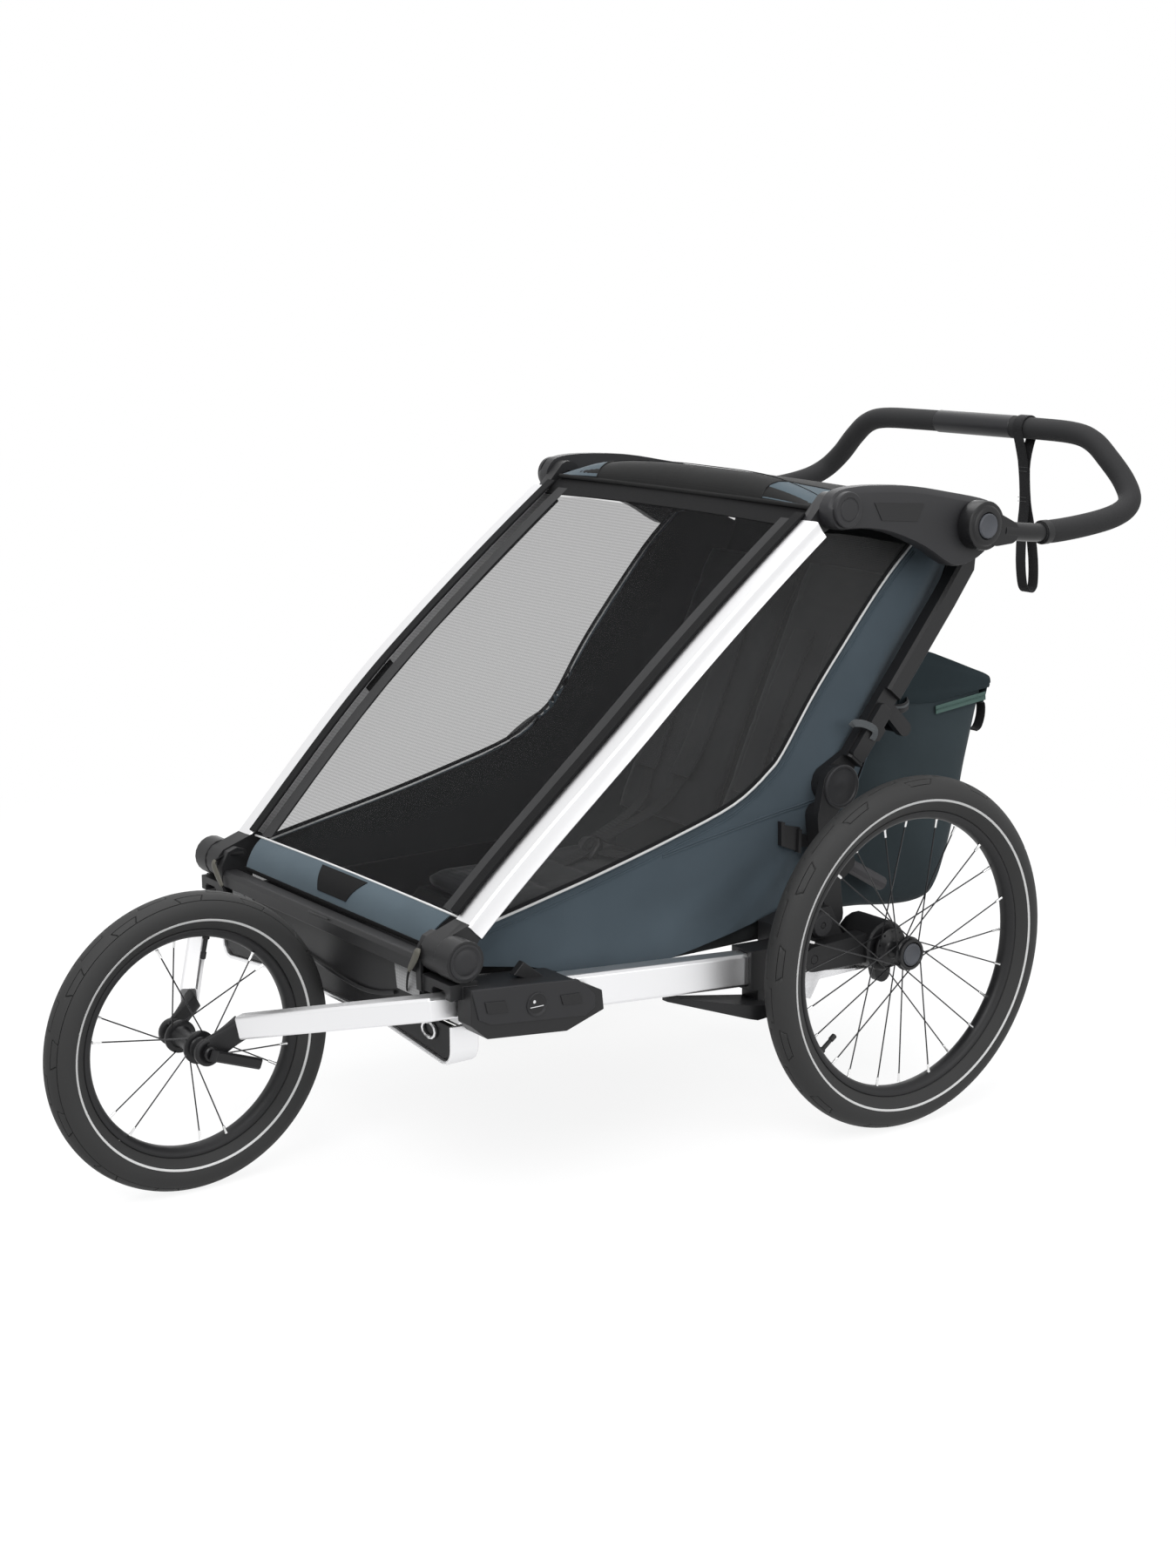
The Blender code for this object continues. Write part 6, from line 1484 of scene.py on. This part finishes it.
def fork_tip(side, put):
    """Rounded hull from the arm's end to the eye round the skewer."""
    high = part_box("fork_tip_left")[1]
    eye = Vector((TIP_IN_X + TIP_THICKNESS / 2, *FRONT_AXLE))
    seat = Vector((high.x - ARM_WIDTH / 2, high.y - AXLE_Y - 0.006, high.z - ARM_HEIGHT / 2))
    along = (eye - seat).normalized()
    up = (Vector((0, 0, 1)) - along * along.z).normalized()
    rows = []
    for share in steps(14):
        centre = seat.lerp(eye, share)
        half_w = mix(ARM_WIDTH / 2 - 0.0008, TIP_THICKNESS / 2, smooth(share / 0.75))
        half_h = mix(ARM_HEIGHT / 2 - 0.0006, TIP_EYE_R - 0.0010, smooth(share))
        half_h -= 0.0016 * math.sin(math.pi * share)
        rows.append([centre + Vector((half_w * blunt(a, 0.55), 0, 0)) + up * (half_h * blunt(b, 0.55))
                     for a, b in ring_section(1, 24)])
    bm = capped(rows)
    far = TIP_THICKNESS
    disc = [(0.0, 0.0054), (0.0, TIP_EYE_R - 0.0014), (0.0014, TIP_EYE_R), (far - 0.0014, TIP_EYE_R),
            (far, TIP_EYE_R - 0.0014), (far, 0.0130), (far - 0.0010, 0.0120), (far - 0.0010, 0.0054)]
    lathe(disc, (TIP_IN_X, *FRONT_AXLE), 48, bm=bm, closed=True)
    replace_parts(put("tip_hull", bm, BLACK, "jog_kit", angle=50), f"fork_tip_{side}")


front_cover()
both_sides(elastic)
both_sides(pillar_sleeve)
side_links()
both_sides(link_plate)
both_sides(casing)
both_sides(fold_pivot)
fascia()
both_sides(fork_tip)
roof()
both_sides(side_cloth)


# Seats, rear panel and bag

DECK_Z = 0.268
SEAT_WIDTH, SEAT_THICKNESS, SEAT_MIDDLE_GAP = 0.222, 0.036, 0.010
BAG_HALF = 0.215
BACK_FOOT_Z, BACK_HEAD_Z, BACK_SEAMS_Z = 0.318, 0.852, (0.798, 0.790, 0.655)
BACK_FOLDED_Y, BACK_HALF, BACK_FLARE = 0.1722, 0.2418, 0.0242
PAD_ROUND = (0.42, 0.72)                 # how square a pad's section is, across and through it


def rear_panel():
    """Slate cloth behind the seats, with a hem and a seam."""
    rows = []
    for z in between(BACK_FOOT_Z, BACK_HEAD_Z, 40):
        over = smooth((z - 0.805) / 0.047)
        half = BACK_HALF + BACK_FLARE * smooth((z - 0.80) / 0.03)
        row = []
        for t in across(32):
            soft = 0.0016 * noise.noise(Vector((t * 2.4, z * 7, 8.0))) * (1 - t ** 4)
            y = mix(rear_out(z) + 0.006 * (1 - t * t) + soft, BACK_FOLDED_Y, over)
            row.append(Vector((half * t, y, z)))
        rows.append(row)
    lining = [[p + Vector((0, -0.0040, 0)) for p in row[::4]] for row in rows[:38:4]]
    lining.insert(0, [Vector((p.x, p.y - 0.004, 0.272)) for p in rows[0][::4]])
    pieces = [build("back_lining", sheet_of(lining, 0.0008), LINING, "chassis", "black_mesh")]
    panel = build("back_panel", sheet_of(rows, 0.0020), SLATE_FRONT_PAINTED_LIGHT, "chassis", "slate_fabric")
    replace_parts(panel, "rear_panel")
    for z in BACK_SEAMS_Z:
        line = [Vector((0.234 * t, rear_out(z) + 0.0068 * (1 - t ** 2) + 0.0006, z)) for t in across(40)]
        bm = sweep(line, ring_section(0.0009, 6))
        pieces.append(build(f"back_seam_{round(z * 1000)}", bm, BLACK_FRONT_PAINTED_SHADE, "chassis", "slate_fabric"))
    crumple([panel] + pieces, *BACK_SINKS)


def pad_mesh(spine, thick, width, centre_x, channels, swell_to):
    """A crowned pad along a (y, z) spine: sides pulled in between corners, sewn channels across."""
    line = smooth_path([(0, y, z) for y, z in spine], 6)
    rows = []
    half = width / 2
    for point, along, share in zip(line, headings(line), steps(len(line) - 1)):
        normal = Vector((0, -along.z, along.y))
        swell = 0.50 + 0.50 * smooth(min(share, 1 - share) / 0.09)
        waist = 1.0 - 0.030 * math.sin(math.pi * share) ** 0.8
        row = []
        for c, s in ring_section(1, 40):
            u = half * waist * blunt(c, PAD_ROUND[0]) * (0.955 + 0.045 * swell)
            v = thick / 2 * blunt(s, PAD_ROUND[1]) * swell
            if s > 0:
                for at in channels:
                    v *= 1 - 0.34 * math.exp(-((share - at) / 0.012) ** 2)
                for at in (-0.62, 0.62):
                    v *= 1 - 0.26 * math.exp(-((u / half - at) / 0.030) ** 2)
                v *= swell_to + (1 - swell_to) * (1 - (u / half) ** 2)
            row.append(Vector((centre_x + u, point.y, point.z)) + normal * v)
        rows.append(row)
    return capped(rows)


CLOTH_SETTINGS = (("quality", 6), ("mass", 0.25), ("tension_stiffness", 22), ("compression_stiffness", 22),
                  ("shear_stiffness", 12), ("bending_stiffness", 0.6), ("use_pressure", True))


def inflate(piece, pressure, cap, frames_count=16):
    """Fills a pad with cloth simulation, with a cap on how far a point may move."""
    rest = [v.co.copy() for v in piece.data.vertices]
    modifier = piece.modifiers.new("cloth", "CLOTH")
    settings = modifier.settings
    for name, value in CLOTH_SETTINGS:
        setattr(settings, name, value)
    settings.uniform_pressure_force = pressure
    settings.effector_weights.gravity = 0
    scene = bpy.context.scene
    for frame_number in range(1, frames_count + 1):
        scene.frame_set(frame_number)
    graph = bpy.context.evaluated_depsgraph_get()
    moved = [v.co.copy() for v in piece.evaluated_get(graph).data.vertices]
    piece.modifiers.remove(modifier)
    scene.frame_set(1)
    for vertex, before, after in zip(piece.data.vertices, rest, moved):
        step = after - before
        if step.length > cap:
            step *= cap / step.length
        vertex.co = before + step
    piece.data.update()


PAD_PRESSURE, PAD_CAP = 1.2, 0.0025


def seats():
    """Two seats side by side: a cushion on the deck and a back in front of the rear panel each."""
    middle_x = (SEAT_WIDTH + SEAT_MIDDLE_GAP) / 2
    thick, width = SEAT_THICKNESS, SEAT_WIDTH * 0.985
    rest = DECK_Z + 0.004 + 0.98 * thick / 2 + 0.00045
    back_y = rear_y(DECK_Z + 0.06) - 0.051
    cushion = [(-0.408, rest + 0.002), (-0.355, rest), (-0.300, rest), (-0.245, rest),
               (-0.190, rest + 0.001), (back_y - 0.030, rest + 0.004), (back_y, rest + 0.007)]
    half_back = thick / 2 / math.cos(math.atan(REAR_LEAN))
    back = [(rear_y(z) - half_back - 0.0006, z)
            for z in (0.352, 0.40, 0.45, 0.50, 0.55, 0.60, 0.65, 0.70, 0.745)]
    for side, factor in SIDES:
        centre_x = middle_x * factor
        bm = pad_mesh(cushion, thick * 0.96, width, centre_x, (0.28, 0.55, 0.82), 0.86)
        base = build(f"cushion_{side}", bm, SEAT, "chassis", "seat_fabric", angle=80)
        inflate(base, PAD_PRESSURE, PAD_CAP)
        subdivide(base)
        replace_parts(base, f"seat_cushion_{side}")
        bm = pad_mesh(back, thick * 0.94, width, centre_x, (0.20, 0.42, 0.64, 0.86), 0.84)
        rest_pad = build(f"backrest_{side}", bm, SEAT, "chassis", "seat_fabric", angle=80)
        inflate(rest_pad, PAD_PRESSURE, PAD_CAP)
        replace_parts(rest_pad, f"seat_back_{side}")
        crumple([rest_pad], *SEAT_SINKS)
        harness(side, centre_x, rest, back_y)


def shoulder_pad(path, out, pads):
    """A soft pad round part of a shoulder strap."""
    rows = []
    for point, share in zip(path, steps(len(path) - 1)):
        swell = 0.55 + 0.45 * smooth(min(share, 1 - share) / 0.12)
        rows.append([point + Vector((0.0235 * blunt(a, 0.5) * (0.9 + 0.1 * swell), 0, 0))
                     + out * (0.0050 * blunt(b, 0.8) * swell + 0.0058) for a, b in ring_section(1, 16)])
    capped(rows, pads)


def harness_buckle(buckle):
    """The leaning buckle's body and its round button."""
    outline = [(-0.017, -0.014), (-0.011, -0.020), (0.011, -0.020), (0.017, -0.014), (0.017, 0.008),
               (0.010, 0.016), (-0.010, 0.016), (-0.017, 0.008)]
    tilt, lift = Vector((0, 0.62, 0.78)), Vector((0, -0.78, 0.62))

    def ring(points, size, depth):
        return [buckle + Vector((u * size, 0, 0)) + tilt * (v * size) + lift * depth for u, v in points]

    bm = capped([ring(outline, *at) for at in ((0.92, -0.005), (1.0, -0.003), (1.0, 0.004), (0.86, 0.0065))])
    button = ring_section(0.0075, 20)
    rows = [ring(button, *at) for at in ((1, 0.006), (1, 0.0078), (0.8, 0.0084))]
    bm, made = grid(rows, closed=True, bm=bm)
    bm.faces.new(made[-1])
    return bm


def harness(side, centre_x, rest, back_y):
    """Shoulder straps with pads, lap straps and the buckle they meet in."""
    lean = Vector((0, REAR_LEAN, 1)).normalized()
    out = Vector((0, -lean.z, lean.y))
    seat = Vector((centre_x, back_y, rest))
    buckle = seat + Vector((0, -0.090, 0.036))
    straps, pads = bmesh.new(), bmesh.new()

    def strap(route, normals, width):
        path = smooth_path(route, 5)
        ribbon(path, normals, width, 0.0020, straps)

    for sign in (1, -1):
        route = [Vector((centre_x + sign * x, rear_y(z) - 0.0335, z)) + out * rise
                 for x, z, rise in ((0.038, 0.690, -0.006), (0.038, 0.680, 0.004), (0.044, 0.600, 0.006),
                                    (0.047, 0.500, 0.007), (0.040, 0.420, 0.012), (0.020, 0.365, 0.026))]
        route.append(buckle + Vector((sign * 0.009, 0.012, 0.014)))
        path = smooth_path(route, 5)
        turned = [mix(out, Vector((0, -0.6, 0.8)), share) for share in steps(5)]
        ribbon(path, [out] * (len(path) - len(turned)) + turned, 0.024, 0.0020, straps)
        shoulder_pad(path[7:21], out, pads)
        lap = [seat + Vector((sign * x, y, z))
               for x, y, z in ((0.094, -0.006, 0.014), (0.088, -0.030, 0.0265), (0.052, -0.065, 0.030))]
        strap(lap + [buckle + Vector((sign * 0.016, 0.004, -0.002))], Vector((0, -0.25, 1)), 0.022)
    strap([seat + Vector((0, -0.150, 0.0175)), seat + Vector((0, -0.132, 0.022)),
           buckle + Vector((0, -0.012, -0.004))], Vector((0, -0.5, 1)), 0.022)
    soft = [build(f"harness_straps_{side}", straps, WEB),
            build(f"harness_pads_{side}", pads, SEAT, "chassis", "seat_fabric")]
    soft.append(build(f"harness_buckle_{side}", harness_buckle(buckle), BLACK))
    crumple(soft, *SEAT_SINKS)


def bag_outline():
    """Side view of the bag at rest, from its top front, round the rear to its foot."""
    def front_y(z):
        return rear_y(z) + 0.0066
    top = [(front_y(0.640) + 0.002, 0.638), (0.170, 0.633), (0.215, 0.618), (0.262, 0.600), (0.298, 0.586),
           (0.3065, 0.578), (0.3050, 0.562), (0.2990, 0.545)]
    rear = [(0.2880, 0.500), (0.2760, 0.452), (0.2650, 0.400), (0.2540, 0.350), (0.2420, 0.305),
            (0.2300, 0.276), (0.2120, 0.256), (0.1850, 0.250), (0.1580, 0.2505)]
    low = [(0.110, 0.255), (0.060, 0.260), (0.018, 0.266), (-0.018, 0.276), (-0.034, 0.290)]
    front = [(front_y(z), z) for z in (0.310, 0.350, 0.400, 0.450, 0.500, 0.545, 0.590, 0.620)]
    return top + rear + low + front


def lid_low(y):
    """Height of the lid's lower edge on the bag's sides."""
    if y < 0.1902:
        return mix(0.5634, 0.5575, (y - 0.117) / 0.0732)
    return mix(0.5575, 0.5677, (y - 0.1902) / 0.1154)


LID_POINTS = 8                           # the outline's first points, which the lid covers
LID_HALF, ZIP_WIDTH = BAG_HALF * 1.012, 0.0125


def bag_body(outline):
    """The bag's shell: its sides round in to their edges, and its cloth sags between the seams."""
    fine = [Vector(p) for p in smooth_line(outline + outline[:1], 3)[:-1]]
    middle = Vector((0.150, 0.430))
    stations = [(-1.0, 0.50), (-0.998, 0.70), (-0.99, 0.86), (-0.970, 0.945), (-0.93, 0.982), (-0.85, 0.997),
                (-0.70, 1.0), (-0.5, 1.0), (-0.25, 1.0), (0, 1.0)]
    stations = stations + [(-t, size) for t, size in reversed(stations[:-1])]
    rows = []
    for t, size in stations:
        row = []
        for point in fine:
            spot = middle + (point - middle) * size
            inward = (middle - point).normalized()
            soft = 0.0045 * noise.noise(Vector((t * 2.2, point.x * 8, point.y * 9)))
            soft += 0.0022 * noise.noise(Vector((t * 6, point.x * 22, point.y * 22)))
            at_front = 1 - smooth((spot.x - rear_y(spot.y) - 0.006) / 0.03)
            spot += inward * abs(soft) * (1 - at_front) * 0.9
            bulge = 1.0 - 0.010 * smooth((0.45 - point.y) / 0.2)
            row.append(Vector((BAG_HALF * t * bulge, spot.x, spot.y)))
        rows.append(row)
    return capped(rows)


def bag_lid(outline, trim):
    """The lid's top, and its sides that hang over the bag's."""
    line = [Vector(p) for p in smooth_line(outline[:LID_POINTS], 4)]
    outs = [Vector((along.y, -along.x)) for along in headings(line)]
    path = [(point, out if out.y > 0 or out.x > 0 else -out) for point, out in zip(line, outs)]
    rows = [[Vector((LID_HALF * t, point.x + out.x * 0.0030, point.y + out.y * 0.0030))
             for t in across(28)] for point, out in path]
    trim("bag_lid", sheet_of(rows, 0.0016), LID, angle=60)
    for side, sign in SIDES:
        rows = []
        for point, _ in path:
            low = lid_low(point.x)
            if point.y >= low + 0.004 and point.x >= 0.117:
                rows.append([Vector((sign * (LID_HALF + 0.0014 * math.sin(math.pi * k)), point.x,
                                     mix(point.y + 0.0022, low, k))) for k in steps(6)])
        trim(f"bag_lid_side_{side}", sheet_of(rows, 0.0014), LID)
        bag_zip(side, sign, trim)


def bag_zip(side, sign, trim):
    """Zip tape and its teeth under the lid's edge, on one side."""
    path = [Vector((sign * (BAG_HALF + 0.0032), 0.198 + 0.101 * k, 0.5455 + 0.0105 * k)) for k in steps(20)]
    trim(f"bag_zip_{side}", ribbon(path, Vector((sign, 0, 0)), ZIP_WIDTH, 0.0016), ZIP)
    teeth = bmesh.new()
    for y in between(0.199, 0.297, 39):
        z = 0.5460 + 0.0105 * (y - 0.198) / 0.101
        ends = sorted((sign * (BAG_HALF + 0.0041), sign * (BAG_HALF + 0.0049)))
        block((ends[0], y - 0.0008, z - 0.0013), (ends[1], y + 0.0008, z + 0.0013), teeth)
    trim(f"bag_zip_teeth_{side}", teeth, ZIP, "black_plastic")


def bag_loops():
    """Webbing loops on the bag's rear, one near each side."""
    loops = bmesh.new()
    for sign in (1, -1):
        loop = smooth_path([(sign * 0.204, y, z) for y, z in (
            (0.2950, 0.546), (0.3040, 0.543), (0.3050, 0.525), (0.2990, 0.508), (0.2900, 0.503))], 5)
        ribbon(loop, [Vector((0, along.z, -along.y)) for along in headings(loop)], 0.018, 0.0018, loops)
    return loops


def cargo_bag():
    """Soft lidded bag with its zips and loops."""
    outline = bag_outline()
    bag = build("bag", bag_body(outline), SLATE_BAG, "chassis", "slate_fabric", angle=80)
    subdivide(bag)
    settle(bag)
    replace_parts(bag, "cargo_bag")
    pieces = [bag]

    def trim(name, bm, finish, slot="slate_fabric", **options):
        pieces.append(build(name, bm, finish, "chassis", slot, **options))

    bag_lid(outline, trim)
    path = [Vector((BAG_HALF * t * 1.003, 0.3012, 0.5555)) for t in across(30)]
    trim("bag_zip_rear", ribbon(path, Vector((0, 1, -0.25)), 0.0120, 0.0016), ZIP)
    trim("bag_loops", bag_loops(), WEB, "black_plastic")
    crumple(pieces, *BAG_SINKS)


def settle(piece):
    """Keeps the shape that the modifiers give, in a mesh of its own."""
    graph = bpy.context.evaluated_depsgraph_get()
    graph.update()
    mesh = bpy.data.meshes.new_from_object(piece.evaluated_get(graph))
    piece.modifiers.clear()
    piece.data = mesh


rear_panel()
seats()
cargo_bag()
